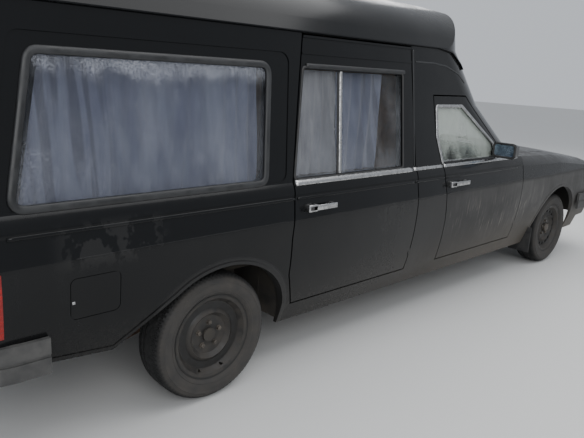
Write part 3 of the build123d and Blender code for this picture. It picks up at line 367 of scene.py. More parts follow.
def makeGlass(name, base, haze, clear, rime=0.0, foot=0.0, speckle=0.8):
    g = glass
    material, tree, shader = startMaterial(name, IOR=1.5)
    spot = places(tree)
    height = axis(tree, spot, "Z")
    cloudy = grain(tree, stretched(tree, spot, g["cloudStretch"]), *g["clouds"])
    crystals = grain(tree, spot, *g["crystals"])
    frost = times(tree, scaled(tree, cloudy, *g["haze"]), haze)
    frost = plus(tree, frost, times(tree, times(tree, crystals, cloudy), haze * speckle))
    if rime:
        edge = plus(tree, height, times(tree, grain(tree, spot, *g["edge"]), g["edgeDepth"]))
        band = times(tree, ramp(tree, edge, *g["frost"]), rime)
        frost = plus(tree, frost, times(tree, band, scaled(tree, crystals, *g["rime"])))
    if foot:
        frost = plus(tree, frost, times(tree, ramp(tree, height, *g["fog"], 1.0, 0.0), foot))
    tree.links.new(plus(tree, frost, clear, clamp=True), shader.inputs["Alpha"])
    dress(tree, shader, tint(tree, ramp(tree, frost, 0.0, g["paleFrom"]), g["clean"], base),
          ramp(tree, frost, 0.0, g["roughFrom"], *g["roughness"]))
    addBump(tree, shader, crystals, *g["bump"])
    return material


# plain finishes: two shades of one finish, mottled, with roughness to match
plain = {
    "mottle": (0.3, 0.72),
    "finer": 9,
    "fine": (0.3, 0.75, 3.0),
    "bump": 0.4,
    "rougher": 0.25,
}


def makePlain(name, base, second, scale, rough, metallic=0.0, bumpDepth=0.0003, stretch=(1, 1, 1)):
    material, tree, shader = startMaterial(name, Metallic=metallic)
    spot = stretched(tree, places(tree), stretch)
    mottled = grain(tree, spot, scale, *plain["mottle"])
    fine = grain(tree, spot, scale * plain["finer"], *plain["fine"])
    dress(tree, shader, tint(tree, mottled, base, second),
          ramp(tree, mottled, 0.0, 1.0, rough, min(1.0, rough + plain["rougher"])))
    addBump(tree, shader, fine, plain["bump"], bumpDepth)
    return material


# wheels: dust, and painted shade on the rims and the tread, go by the distance from the nearer axle
wheelDustAndShade = {
    "wall": ((0.022, 0.021, 0.020), (0.054, 0.049, 0.044)),
    # the tread's tone: clean of dust, with painted shade
    "tread": (0.008, 0.008, 0.008),
    "treadFrom": (0.266, 0.282),
    "wallDust": (14.0, 0.25, 0.75),
    "wallFine": (260.0, 0.3, 0.7, 2.0),
    "wallRoughness": (0.7, 0.95),
    "wallBump": (0.4, 0.0004),
    "steel": ((0.015, 0.014, 0.013), (0.048, 0.042, 0.036)),
    # painted shade on the rims: its tone and share, then the recess, the flange's gap and the hub as radius
    # start, end and softness
    "recessShade": (0.006, 0.006, 0.006),
    "recessShadeShare": 0.8,
    "recess": (0.119, 0.155, 0.008),
    "flange": (0.187, 0.196, 0.003),
    "hub": (0.030, 0.050, 0.010),
    "hubShare": 0.7,
    "steelDust": (22.0, 0.3, 0.72),
    "steelFine": (200.0, 0.3, 0.75, 3.0),
    "steelRoughness": (0.45, 0.75),
    "steelBump": (0.3, 0.0003),
}


def axleDistance(tree):
    spot, along, height = bodyPlace(tree)
    rise = minus(tree, height, rearAxle.z)
    found = [distance(tree, minus(tree, along, axle), rise) for axle in (0.0, wheelbase)]
    return spot, calc(tree, "MINIMUM", *found)


def makeTyre():
    # a dusty sidewall, and a tread clean of dust and darkened by painted shade
    w = wheelDustAndShade
    material, tree, shader = startMaterial("tyreRubberDustAndTreadShade")
    spot, radius = axleDistance(tree)
    dusty = grain(tree, spot, *w["wallDust"])
    wall = tint(tree, dusty, *w["wall"])
    dress(tree, shader, tint(tree, ramp(tree, radius, *w["treadFrom"]), wall, w["tread"]),
          ramp(tree, dusty, 0.0, 1.0, *w["wallRoughness"]))
    addBump(tree, shader, grain(tree, spot, *w["wallFine"]), *w["wallBump"])
    return material


def makeRim():
    # dust on the ridges, and painted shade in the recess, beside the flange and round the bolts
    w = wheelDustAndShade
    material, tree, shader = startMaterial("dustyWheelSteel", Metallic=0.1)
    spot, radius = axleDistance(tree)
    dusty = grain(tree, spot, *w["steelDust"])
    # painted shade darkens the recess, the gap beside the flange and the ring round the bolts
    dark = calc(tree, "MAXIMUM", window(tree, radius, *w["recess"]), window(tree, radius, *w["flange"]))
    dark = calc(tree, "MAXIMUM", dark, times(tree, window(tree, radius, *w["hub"]), w["hubShare"]))
    steel = tint(tree, dusty, *w["steel"])
    dress(tree, shader, tint(tree, times(tree, dark, w["recessShadeShare"]), steel, w["recessShade"]),
          ramp(tree, dusty, 0.0, 1.0, *w["steelRoughness"]))
    addBump(tree, shader, grain(tree, spot, *w["steelFine"]), *w["steelBump"])
    return material


# curtain cloth: faded in long streaks, with a seam across and painted shade in vertical fold lines, deeper at
# the ends
cloth = {
    "sheen": 0.25,
    "roughness": 0.9,
    "faded": (9.0, 0.3, 0.75),
    "fadedStretch": (1, 1, 0.25),
    "weave": (700.0, 0.3, 0.7, 1.0),
    "weaveStretch": (1, 1, 0.4),
    "bump": (0.35, 0.0004),
    "seam": (1.186, 1.190, 0.0015),
    "seamTone": (0.10, 0.10, 0.17),
    "seamShare": 0.22,
    # painted shade of the folds, deeper towards the ends
    "foldShade": (26.0, 0.45, 0.56, 2.0, 0.4),
    "foldStretch": (1.0, 0.0, 0.06),
    "foldShadeTone": (0.035, 0.038, 0.062),
    "foldShadeShare": (0.55, 0.12),
    "foldEnds": [(-0.90, -0.42, 0.10), (0.98, 1.30, 0.05)],
}


def makeCurtain(name, dark, light):
    c = cloth
    material, tree, shader = startMaterial(name, Sheen_Weight=c["sheen"], Roughness=c["roughness"])
    spot, along, height = bodyPlace(tree)
    colour = tint(tree, grain(tree, stretched(tree, spot, c["fadedStretch"]), *c["faded"]), dark, light)
    ends = plus(tree, *[window(tree, along, *end) for end in c["foldEnds"]], clamp=True)
    # painted shade: dark vertical lines standing for the shade in the folds
    foldShade = grain(tree, stretched(tree, spot, c["foldStretch"]), *c["foldShade"])
    colour = tint(tree, times(tree, foldShade, scaled(tree, ends, *c["foldShadeShare"])), colour, c["foldShadeTone"])
    seam = times(tree, window(tree, height, *c["seam"]), c["seamShare"])
    tree.links.new(tint(tree, seam, colour, c["seamTone"]), shader.inputs["Base Color"])
    addBump(tree, shader, grain(tree, stretched(tree, spot, c["weaveStretch"]), *c["weave"]), *c["bump"])
    return material


# lamp lenses: moulded ribs, darker between them
lens = {
    "mottle": (18.0, 0.3, 0.72),
    "darkBetweenRibsTo": 0.55,
    "rougher": 0.2,
    "bump": (0.5, 0.0015),
}


def makeLens(name, base, second, ribAxis, ribs, rough, metallic=0.0):
    material, tree, shader = startMaterial(name, Metallic=metallic)
    spot = places(tree)
    wave = addNode(tree, "TexWave", Scale=ribs, Distortion=0.0, bands_direction=ribAxis)
    tree.links.new(spot, wave.inputs["Vector"])
    mottled = grain(tree, spot, *lens["mottle"])
    dark = calc(tree, "MAXIMUM", mottled, minus(tree, lens["darkBetweenRibsTo"], wave.outputs["Fac"]), clamp=True)
    dress(tree, shader, tint(tree, dark, base, second),
          ramp(tree, mottled, 0.0, 1.0, rough, rough + lens["rougher"]))
    addBump(tree, shader, wave.outputs["Fac"], *lens["bump"])
    return material


# plain finishes are given as two shades, scale, roughness, metal, bump depth and stretch
underside = makePlain("dirtyUnderbody", (0.018, 0.017, 0.016), (0.06, 0.052, 0.042), 9, 0.75)
chrome = makePlain("agedChrome", (0.50, 0.50, 0.50), (0.30, 0.30, 0.30), 45, 0.18, 1.0, 0.0001)
rubber = makePlain("blackRubber", (0.012, 0.012, 0.013), (0.035, 0.034, 0.033), 24, 0.5)
bumperGrey = makePlain("weatheredBumper", (0.032, 0.032, 0.032), (0.085, 0.083, 0.079), 9, 0.6, 0.0, 0.0006)
greyFrame = makePlain("dustyWindowFrame", (0.007, 0.0075, 0.008), (0.026, 0.027, 0.029), 12, 0.35)
mirrorGlass = makePlain("mirrorGlass", (0.16, 0.23, 0.33), (0.34, 0.42, 0.52), 12, 0.06, 0.9, 0.0)
hubSteel = makePlain("wheelBolts", (0.05, 0.045, 0.04), (0.14, 0.12, 0.10), 40, 0.4, 0.5)
seatCloth = makePlain("seatCloth", (0.020, 0.020, 0.024), (0.045, 0.044, 0.05), 60, 0.85, 0.0, 0.0006)
cabPlastic = makePlain("cabPlastic", (0.016, 0.015, 0.015), (0.03, 0.029, 0.028), 40, 0.6)
deckWood = makePlain("deckBoards", (0.10, 0.055, 0.028), (0.20, 0.12, 0.065), 5, 0.35, stretch=(0.15, 3, 3))
castIron = makePlain("engineIron", (0.05, 0.05, 0.05), (0.12, 0.11, 0.10), 12, 0.6, 0.6)
rustyPipe = makePlain("rustyPipe", (0.10, 0.06, 0.04), (0.20, 0.12, 0.075), 15, 0.7, 0.4)
black = makePaint()
darkSteel = makeRim()
tyreRubber = makeTyre()
curtainCloth = makeCurtain("violetCurtain", (0.075, 0.085, 0.135), (0.135, 0.15, 0.205))
paleCloth = makeCurtain("paleCurtain", (0.12, 0.125, 0.145), (0.25, 0.255, 0.275))
# glass is given as the frost's tone, the haze, and how opaque a clean spot is
sideGlass = makeGlass("frostedSideGlass", (0.50, 0.52, 0.58), 0.11, 0.06, rime=0.34)
doorGlass = makeGlass("frostedDoorGlass", (0.44, 0.46, 0.50), 0.12, 0.06, foot=0.03)
cabGlass = makeGlass("foggedCabGlass", (0.40, 0.44, 0.40), 0.80, 0.14, foot=-0.22, speckle=0.0)
clearGlass = makeGlass("dustyScreenGlass", (0.35, 0.37, 0.37), 0.06, 0.10, speckle=0.0)
# lenses are given as two shades, the axis across the ribs, how close they are, roughness and metal
lampGlass = makeLens("lampGlass", (0.56, 0.57, 0.56), (0.36, 0.37, 0.37), "Y", 12.0, 0.12, 0.3)
amberLens = makeLens("amberLens", (0.60, 0.17, 0.01), (0.36, 0.10, 0.012), "Z", 14.0, 0.2)
redLens = makeLens("redLens", (0.32, 0.008, 0.006), (0.13, 0.006, 0.005), "Z", 14.0, 0.2)
finishOf = {
    "paint": black, "glass": clearGlass, "underbody": underside, "wheel_steel": darkSteel,
    "tyre": tyreRubber, "curtain": curtainCloth, "deck": deckWood, "interior": cabPlastic,
    "seat": seatCloth, "bumper": bumperGrey, "chrome": chrome, "headlamp": lampGlass,
    "amber": amberLens, "red": redLens, "engine": castIron, "exhaust": rustyPipe,
}
ownGlass = {"side_windows": sideGlass, "rear_door_glass_": doorGlass, "front_door_glass_": cabGlass}
for part in frame["record"]["subparts"]:
    held = nodes[part["node"]]
    finish = finishOf[part["material_slot"]]
    for start, pane in ownGlass.items():
        if part["node"].startswith(start):
            finish = pane
    held.data.materials.clear()
    held.data.materials.append(finish)
print("finishes on", len(nodes), "nodes")


# shapes: meshes are given in metres in the vehicle's frame
def newPiece(name, points, faces, finish, body, slot, smooth=True):
    mesh = bpy.data.meshes.new(name)
    mesh.from_pydata([tuple(p) for p in points], [], faces)
    tidy = bmesh.new()
    tidy.from_mesh(mesh)
    bmesh.ops.recalc_face_normals(tidy, faces=tidy.faces)
    tidy.to_mesh(mesh)
    tidy.free()
    for face in mesh.polygons:
        face.use_smooth = smooth
    mesh.materials.append(finish)
    piece = bpy.data.objects.new(name, mesh)
    bpy.context.scene.collection.objects.link(piece)
    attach(piece, body)
    return piece


def sharpen(piece, angle=35):
    # smooth curves, crisp corners
    mesh = piece.data
    tidy = bmesh.new()
    tidy.from_mesh(mesh)
    for edge in tidy.edges:
        if len(edge.link_faces) == 2 and edge.calc_face_angle(0) > math.radians(angle):
            edge.smooth = False
    tidy.to_mesh(mesh)
    tidy.free()


def joined(shapes):
    # several point and face lists as one
    points, faces = [], []
    for morePoints, moreFaces in shapes:
        start = len(points)
        points += morePoints
        faces += [tuple(i + start for i in face) for face in moreFaces]
    return points, faces


def ringShape(rings, closedPath=False):
    # a skin through rings of points, one after the other, with both ends capped
    count = len(rings[0])
    points = [p for ring in rings for p in ring]
    faces = []
    for i in range(len(rings) if closedPath else len(rings) - 1):
        here, following = i * count, (i + 1) % len(rings) * count
        for j in range(count):
            beside = (j + 1) % count
            faces.append((here + j, here + beside, following + beside, following + j))
    if not closedPath:
        faces.append(tuple(range(count)))
        faces.append(tuple((len(rings) - 1) * count + j for j in reversed(range(count))))
    return points, faces


def blockShape(centre, size, rounding=0.15, turn=None, segments=2):
    # a block with bevelled edges, by a share of its least side
    made = bmesh.new()
    bmesh.ops.create_cube(made, size=1.0)
    bmesh.ops.scale(made, vec=size, verts=made.verts)
    bmesh.ops.bevel(made, geom=made.edges, offset=min(size) * rounding, segments=segments, affect="EDGES",
                    profile=0.6)
    if turn is not None:
        bmesh.ops.rotate(made, matrix=turn, verts=made.verts)
    bmesh.ops.translate(made, vec=centre, verts=made.verts)
    made.verts.index_update()
    points = [v.co.copy() for v in made.verts]
    faces = [tuple(v.index for v in f.verts) for f in made.faces]
    made.free()
    return points, faces


def circle(centre, first, second, radius, sides, turn=0.0):
    # points round a centre, in the plane of two directions
    angles = [turn + 2 * math.pi * i / sides for i in range(sides)]
    return [centre + first * radius * math.cos(a) + second * radius * math.sin(a) for a in angles]


def tubeShape(path, radius, sides=10):
    # a round bar along a path of points
    rings = []
    for i, point in enumerate(path):
        along = (path[min(i + 1, len(path) - 1)] - path[max(i - 1, 0)]).normalized()
        upright = abs(along.z) >= 0.9
        across = along.cross(Vector((1, 0, 0)) if upright else Vector((0, 0, 1))).normalized()
        rings.append(circle(point, across, along.cross(across), radius, sides))
    return ringShape(rings)


# surfaces of the CAD nodes, found by level rays from outside, so that trim lies on them
rays = {
    "from": 2.0,        # metres from the middle
    "beside": 0.011,    # tries next to a shut gap
    "proud": 0.004,     # a try beside has to stand this much further out
}


def surfaceOf(names):
    shapes = []
    for name in names:
        mesh = nodes[name].data
        shapes.append(([v.co.copy() for v in mesh.vertices], [tuple(f.vertices) for f in mesh.polygons]))
    return BVHTree.FromPolygons(*joined(shapes))


def meet(surface, x, z, hand):
    # point and normal where the ray comes in, or None twice
    return surface.ray_cast(Vector((x, hand * rays["from"], z)), Vector((0, -hand, 0)))[:2]


skin = surfaceOf([n for n in nodes if n.startswith((
    "side_l", "side_r", "roof", "fender", "nose", "cowl", "bonnet", "tailgate", "rear_panel", "front_door",
    "rear_door"))])


def skinAt(x, z, hand):
    best = None
    for aside in (0.0, rays["beside"], -rays["beside"]):
        point, normal = meet(skin, x + aside, z, hand)
        if point is not None and (best is None or abs(point.y) > abs(best[0].y) + rays["proud"]):
            best = (Vector((x, point.y, z)), normal if normal.y * hand > 0 else -normal)
    return best


def roundedPath(corners, radius, closed, step=0.02):
    # straight runs joined by arcs, as points a step apart
    count, arcSteps, mostOfSide = len(corners), 6, 0.48
    arcs = []
    for i, corner in enumerate(corners):
        here = Vector(corner)
        if not closed and i in (0, count - 1):
            arcs.append([here])
            continue
        before, after = Vector(corners[i - 1]) - here, Vector(corners[(i + 1) % count]) - here
        turn = math.pi - before.angle(after)
        reach = min(radius * math.tan(turn / 2), before.length * mostOfSide, after.length * mostOfSide)
        start, end = here + before.normalized() * reach, here + after.normalized() * reach
        shares = [k / arcSteps for k in range(arcSteps + 1)]
        arcs.append([start * (1 - t) ** 2 + here * 2 * t * (1 - t) + end * t ** 2 for t in shares])
    path = []
    for i in range(count if closed else count - 1):
        path += arcs[i]
        end, following = arcs[i][-1], arcs[(i + 1) % count][0]
        pieces = max(1, round((following - end).length / step))
        path += [end.lerp(following, k / pieces) for k in range(1, pieces)]
    if not closed:
        path += arcs[-1]
    return path


def onSkin(path, hand):
    # a path laid on the body, with normals evened over two neighbours each way
    found = [skinAt(p.x, p.y, hand) for p in path]
    found = [f for f in found if f is not None]
    normals = []
    for i in range(len(found)):
        near = [normal for point, normal in found[max(0, i - 2):i + 3]]
        normals.append(sum(near, Vector((0, 0, 0))).normalized())
    return [point for point, normal in found], normals


def ribbonShape(points, normals, profile, closed=False):
    rings = []
    count = len(points)
    for i in range(count):
        following = points[(i + 1) % count] if closed or i < count - 1 else points[i]
        before = points[i - 1] if closed or i > 0 else points[i]
        along = (following - before).normalized()
        out = (normals[i] - along * normals[i].dot(along)).normalized()
        across = along.cross(out)
        rings.append([points[i] + across * a + out * b for a, b in profile])
    return ringShape(rings, closed)


def roundTop(width, height):
    # cross-section of a moulding: across, and out of the skin
    half, inner, sunk = width / 2, width * 0.36, -0.002
    shoulder, crown = height * 0.45, height * 0.85
    return [(-half, sunk), (-half, shoulder), (-inner, crown), (0, height),
            (inner, crown), (half, shoulder), (half, sunk)]


def strip(name, corners, hand, size, finish, body, slot, radius=0.03, closed=False):
    # a moulding on the body, from corners given ahead of the rear axle and in height
    path = roundedPath([(ahead(x), z) for x, z in corners], radius, closed)
    newPiece(name, *ribbonShape(*onSkin(path, hand), roundTop(*size), closed), finish, body, slot)


# long lines of the body: heights, and lengths ahead of the rear axle
lines = {
    "waist": 0.934,
    "shoulder": 0.866,
    "crease": 0.769,
    "rearDoorRear": 0.434,
    "rearDoorFront": 1.353,
    "postFront": 1.664,
    "doorFront": 2.615,
}

# mouldings, window frames and fine lines of one side
trim = {
    # width and height of each
    "thick": (0.030, 0.010),
    "thin": (0.021, 0.007),
    "frame": (0.030, 0.010),
    "seal": (0.012, 0.004),
    "headerSize": (0.022, 0.007),
    "divider": (0.021, 0.008),
    "dividerSeal": (0.012, 0.004),
    "doorFrame": (0.020, 0.007),
    "bead": (0.014, 0.0045),
    "creaseSize": (0.005, 0.0018),
    "roofSize": (0.009, 0.003),
    "postSize": (0.008, 0.003),
    # corners: ahead of the rear axle, and height
    "sideGlass": [(-0.806, 0.948), (-0.694, 1.457), (0.333, 1.457), (0.269, 0.948)],
    "rearDoorGlass": [(0.440, 0.948), (0.538, 1.457), (1.302, 1.457), (1.270, 0.948)],
    "dividerLine": [(0.757, 0.945), (0.8055, 1.450)],
    "header": [(0.560, 1.463), (1.318, 1.463)],
    "roofCrease": [(1.430, 1.524), (1.602, 1.526), (1.736, 1.514), (1.869, 1.475), (1.951, 1.425)],
    "postLine": [(1.409, 1.590), (1.375, 0.955)],
    "doorGlass": [(1.667, 0.946), (1.614, 1.110), (1.619, 1.283),
                  (1.897, 1.283), (2.268, 1.046), (2.303, 0.946)],
    # level runs: name, body, start, end and size, as far as a run needs them
    "waistRuns": [
        ("rearDoor", "rear_door_", lines["rearDoorRear"] + 0.006, lines["rearDoorFront"] - 0.004, "thick"),
        ("post", "body", lines["rearDoorFront"] + 0.012, lines["postFront"] - 0.010, "thin"),
        ("frontDoor", "front_door_", lines["postFront"] + 0.006, lines["doorFront"] - 0.020, "thin"),
    ],
    "creaseRuns": [
        ("quarter", "body", -0.62, lines["rearDoorRear"] - 0.050),
        ("rear", "rear_door_", lines["rearDoorRear"] + 0.020, lines["rearDoorFront"]),
        ("post", "body", lines["rearDoorFront"] + 0.030, lines["postFront"] + 0.005),
        ("front", "front_door_", lines["postFront"] + 0.030, lines["doorFront"] + 0.040),
    ],
    "shoulderRuns": [
        ("body", -0.83, lines["rearDoorRear"] - 0.012),
        ("rear_door_", lines["rearDoorRear"] + 0.008, lines["rearDoorFront"] - 0.002),
        ("body", lines["rearDoorFront"] + 0.012, lines["postFront"] - 0.004),
        ("front_door_", lines["postFront"] + 0.010, lines["doorFront"] - 0.030),
    ],
    "sealShift": -0.016,        # the rubber lies behind the chrome bar
    "dividerSteps": 26,
    "dividerEnds": 0.002,       # kept from the pane's ends
    "dividerLean": 0.25,
}


def bodyFor(owner, side):
    # a door's body is named for its side
    return owner + side if owner.endswith("_") else owner


def level(line, start, end):
    # both corners of a level run
    return [(start, lines[line]), (end, lines[line])]


def makeLevelStrips(side, hand):
    # waist mouldings, and the fine ridges along the crease and the shoulder, named by their start in metres
    for name, owner, start, end, size in trim["waistRuns"]:
        strip(f"{name}Strip_{side}", level("waist", start, end), hand, trim[size], chrome,
              bodyFor(owner, side), "chrome")
    for name, owner, start, end in trim["creaseRuns"]:
        strip(f"creaseLine_{name}_{side}", level("crease", start, end), hand, trim["creaseSize"], black,
              bodyFor(owner, side), "paint")
    for owner, start, end in trim["shoulderRuns"]:
        body = bodyFor(owner, side)
        strip(f"shoulderBead_{body}{start:.0f}_{side}", level("shoulder", start, end), hand, trim["bead"],
              black, body, "paint")


def makeDivider(side, hand):
    # the chrome bar between the rear door's two panes, and the rubber beside it
    low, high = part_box(f"rear_door_glass_{side}")
    pane = surfaceOf([f"rear_door_glass_{side}"])
    least, most = low.z + trim["dividerEnds"], high.z - trim["dividerEnds"]
    foot, head = (Vector(corner) for corner in trim["dividerLine"])
    outward = Vector((0, hand, trim["dividerLean"])).normalized()
    bars = [("divider", 0.0, trim["divider"], chrome, "chrome"),
            ("dividerRubber", trim["sealShift"], trim["dividerSeal"], rubber, "bumper")]
    for name, shift, size, finish, kind in bars:
        points = []
        for i in range(trim["dividerSteps"] + 1):
            x, z = foot.lerp(head, i / trim["dividerSteps"])
            found = meet(pane, ahead(x), min(max(z, least), most), hand)[0]
            points.append(Vector((ahead(x + shift), found.y, z)))
        shape = ribbonShape(points, [outward] * len(points), roundTop(*size))
        newPiece(f"{name}_{side}", *shape, finish, f"rear_door_{side}", kind)


def makeFrames(side, hand):
    t = trim
    rearDoor, frontDoor = f"rear_door_{side}", f"front_door_{side}"
    strip(f"sideGlassFrame_{side}", t["sideGlass"], hand, t["frame"], greyFrame, "body", "paint",
          radius=0.045, closed=True)
    strip(f"rearDoorFrame_{side}", t["rearDoorGlass"], hand, t["seal"], rubber, rearDoor, "paint",
          radius=0.02, closed=True)
    strip(f"rearDoorHeader_{side}", t["header"], hand, t["headerSize"], greyFrame, rearDoor, "paint")
    strip(f"roofCrease_{side}", t["roofCrease"], hand, t["roofSize"], greyFrame, "body", "paint", radius=0.08)
    strip(f"postLine_{side}", t["postLine"], hand, t["postSize"], greyFrame, "body", "paint")
    strip(f"frontDoorFrame_{side}", t["doorGlass"], hand, t["doorFrame"], chrome, frontDoor, "chrome",
          radius=0.02)


for side, hand in hands.items():
    makeLevelStrips(side, hand)
    makeDivider(side, hand)
    makeFrames(side, hand)
print("strips and frames laid")


# door and tail handles
handles = {
    "rear_door": {"start": 0.484, "end": 0.671, "z": 0.820},
    "front_door": {"start": 1.690, "end": 1.892, "z": 0.826},
    "skin": 0.879,                      # half the body's width at the handles
    "sunk": 0.006,
    "reach": 0.0325,
    "halfHeight": 0.011,
    "cover": 0.0025,                    # how far the chrome stands over the form beneath
    "button": 0.058,
    "buttonTaller": 0.008,
    "foot": 0.022,
    "footIn": 0.0005,
    "bar": 0.012,
    "barFrom": 0.020,
    "lock": (0.020, 0.004, 0.017),
    "lockPlace": (0.020, 0.0008),       # from the button's rear end, and out of its face
    "tail": {"in": 0.016, "z": 0.900, "size": (0.038, 0.198, 0.030)},
}


def makeHandle(place, side, hand):
    h = handles
    z, cover = h[place]["z"], h["cover"]
    start, end = ahead(h[place]["start"]) - cover, ahead(h[place]["end"]) + cover
    outer, high = h["skin"] + h["reach"] + cover, 2 * (h["halfHeight"] + cover)
    deep = outer - h["skin"] + h["sunk"]
    inside = outer - deep / 2
    blocks = [  # x, y, size, rounding
        (start + h["button"] / 2, inside, (h["button"], deep, high + h["buttonTaller"]), 0.16),
        (end - h["foot"] / 2 - cover, inside - h["footIn"], (h["foot"] + 2 * cover, deep, high), 0.2),
        ((start + end + h["barFrom"]) / 2, outer - h["bar"] / 2 - cover,
         (end - start - h["barFrom"], h["bar"] + 2 * cover, high), 0.25),
    ]
    shape = joined([blockShape((x, hand * y, z), size, rounding) for x, y, size, rounding in blocks])
    newPiece(f"{place}Pull_{side}", *shape, chrome, f"{place}_{side}", "chrome")
    along, out = h["lockPlace"]
    lock = blockShape((start + along, hand * (outer + out), z), h["lock"], rounding=0.2)
    newPiece(f"{place}Button_{side}", *lock, rubber, f"{place}_{side}", "bumper")


def makeTailPull():
    t = handles["tail"]
    shape = blockShape((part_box("tailgate")[0].x + t["in"], 0.0, t["z"]), t["size"], rounding=0.25)
    newPiece("tailPull", *shape, chrome, "tailgate", "chrome")


# mirror glasses and the fuel flap's lock
mirrors = {
    "in": 0.080,                        # the glass's middle, from the mirror's outer end
    "z": 1.015,
    "half": (0.072, 0.042),
    "corner": 0.026,
    "step": 0.01,
    "rim": (0.013, 0.005),
    "share": 0.95,
    "faces": (-0.001, 0.0015),          # the glass's back and front, out of the mirror's rear
}
flapLock = {"x": -0.628, "z": 0.610, "size": (0.011, 0.004, 0.011), "rounding": 0.45}


def makeMirrorGlass(side, hand):
    m, body = mirrors, f"front_door_{side}"
    low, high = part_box(f"mirror_{side}")
    centre = Vector((low.x, hand * (max(abs(low.y), abs(high.y)) - m["in"]), m["z"]))
    wide, tall = m["half"]
    corners = [(-wide, -tall), (wide, -tall), (wide, tall), (-wide, tall)]
    path = roundedPath(corners, m["corner"], closed=True, step=m["step"])
    outline = [Vector((0, p.x, p.y)) for p in path]
    rearward = [Vector((-1, 0, 0))] * len(outline)
    rim = ribbonShape([centre + p for p in outline], rearward, roundTop(*m["rim"]), closed=True)
    newPiece(f"mirrorRim_{side}", *rim, rubber, body, "bumper")
    plate = [[centre - Vector((out, 0, 0)) + p * m["share"] for p in outline] for out in m["faces"]]
    newPiece(f"mirrorGlass_{side}", *ringShape(plate), mirrorGlass, body, "chrome", smooth=False)


def makeFlapLock():
    spot = skinAt(ahead(flapLock["x"]), flapLock["z"], -1)[0]
    newPiece("flapLock", *blockShape(spot, flapLock["size"], flapLock["rounding"]), chrome, "body", "chrome")


for side, hand in hands.items():
    makeHandle("rear_door", side, hand)
    makeHandle("front_door", side, hand)
    makeMirrorGlass(side, hand)
makeTailPull()
makeFlapLock()
print("handles and mirror glasses set")


# tyres: a turned carcass with sidewall rings, cut by tread grooves
tyre = {
    "pitches": 84,
    "perPitch": 4,
    "groove": 0.007,
    "bead": (0.182, 0.066),
    "profile": [  # radius and distance from the middle, half of the section
        (0.195, 0.072), (0.199, 0.077), (0.206, 0.082), (0.212, 0.085), (0.214, 0.0835), (0.226, 0.087),
        (0.240, 0.0885), (0.251, 0.0872), (0.253, 0.0885), (0.2555, 0.0868), (0.264, 0.083), (0.270, 0.079),
        (0.2745, 0.0765), (0.280, 0.071), (0.2845, 0.064), (0.2868, 0.056), (0.288, 0.0475), (0.288, 0.047),
        (0.2885, 0.040), (0.2890, 0.030), (0.2892, 0.020), (0.2892, 0.0195), (0.2896, 0.010), (0.290, 0.004),
    ],
    "ringGrooves": [(0.0404, 0.0473), (0.0124, 0.0198)],
    "ringsFrom": 0.270,         # least radius
    "skew": 240,                # cuts across run round by this many steps for each metre out
    "shoulderCuts": {"from": 0.272, "beyond": 0.030, "share": 0.8},
    "middleCuts": {"from": 0.285, "share": 0.5},
}


def grooveDepth(step, radius, out):
    # how deep the tread is cut at a step round the tyre
    shoulder, crown = tyre["shoulderCuts"], tyre["middleCuts"]
    across = (step + int(out * tyre["skew"])) % tyre["perPitch"] == 0
    if radius > tyre["ringsFrom"] and any(a <= out <= b for a, b in tyre["ringGrooves"]):
        return tyre["groove"]
    if radius > shoulder["from"] and out > shoulder["beyond"] and across:
        return tyre["groove"] * shoulder["share"]
    if radius > crown["from"] and across and step // tyre["perPitch"] % 2 == 1:
        return tyre["groove"] * crown["share"]
    return 0.0


def makeTyrePiece(place, side):
    node = f"tyre_{place}_{side}"
    centre = middle(node)
    half, (beadRadius, beadOut) = tyre["profile"], tyre["bead"]
    section = half + [(r, -d) for r, d in reversed(half)] + [(beadRadius, -beadOut), (beadRadius, beadOut)]
    count = tyre["pitches"] * tyre["perPitch"]
    rings = []
    for i in range(count):
        angle = 2 * math.pi * i / count
        outward = Vector((math.cos(angle), 0, math.sin(angle)))
        rings.append([centre + outward * (r - grooveDepth(i, r, abs(d))) + Vector((0, d, 0))
                      for r, d in section])
    shape = ringShape(rings, closedPath=True)
    piece = newPiece(node + "_treaded", *shape, tyreRubber, f"wheel_{place}_{side}", "tyre")
    sharpen(piece, angle=40)
    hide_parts(node)


# wheel bolts, the front hubs' grease caps and the flaps behind the front wheels
wheel = {
    "bolts": 5,
    "boltCircle": 0.056,
    "firstBolt": 0.3,           # radians
    "discOut": 0.035,
    # radius, and distance out from the disc or from the cap's face
    "bolt": [(0.0145, -0.004), (0.0145, 0.003), (0.0105, 0.0035), (0.0105, 0.011), (0.0084, 0.013)],
    "capOut": 0.062,
    "cap": [(0.0335, -0.032), (0.0335, -0.012), (0.032495, -0.006),
            (0.02948, -0.002), (0.02345, 0.0), (0.004, 0.001)],
}
flap = {"x": 2.985, "inner": 0.700, "outer": 0.868, "low": 0.165, "high": 0.365, "thick": 0.006}


def turned(centre, hand, out, profile, sides, turn=0.0):
    # a turned shape about a wheel's axle, from radius and distance beyond a start
    forward, up = Vector((1, 0, 0)), Vector((0, 0, 1))
    rings = []
    for radius, more in profile:
        place = centre + Vector((0, hand * (out + more), 0))
        rings.append(circle(place, forward, up, radius, sides, turn))
    return ringShape(rings)


def makeBolts(place, side, hand):
    w, body = wheel, f"wheel_{place}_{side}"
    centre = middle(f"tyre_{place}_{side}")
    shapes = []
    for i in range(w["bolts"]):
        angle = 2 * math.pi * i / w["bolts"] + w["firstBolt"]
        spot = centre + Vector((math.cos(angle), 0, math.sin(angle))) * w["boltCircle"]
        shapes.append(turned(spot, hand, w["discOut"], w["bolt"], sides=6, turn=angle))
    newPiece(f"bolts_{place}_{side}", *joined(shapes), hubSteel, body, "wheel_steel", smooth=False)


def makeGreaseCap(side, hand):
    cap = turned(middle(f"tyre_front_{side}"), hand, wheel["capOut"], wheel["cap"], sides=40)
    sharpen(newPiece(f"greaseCap_{side}", *cap, hubSteel, f"wheel_front_{side}", "wheel_steel"))


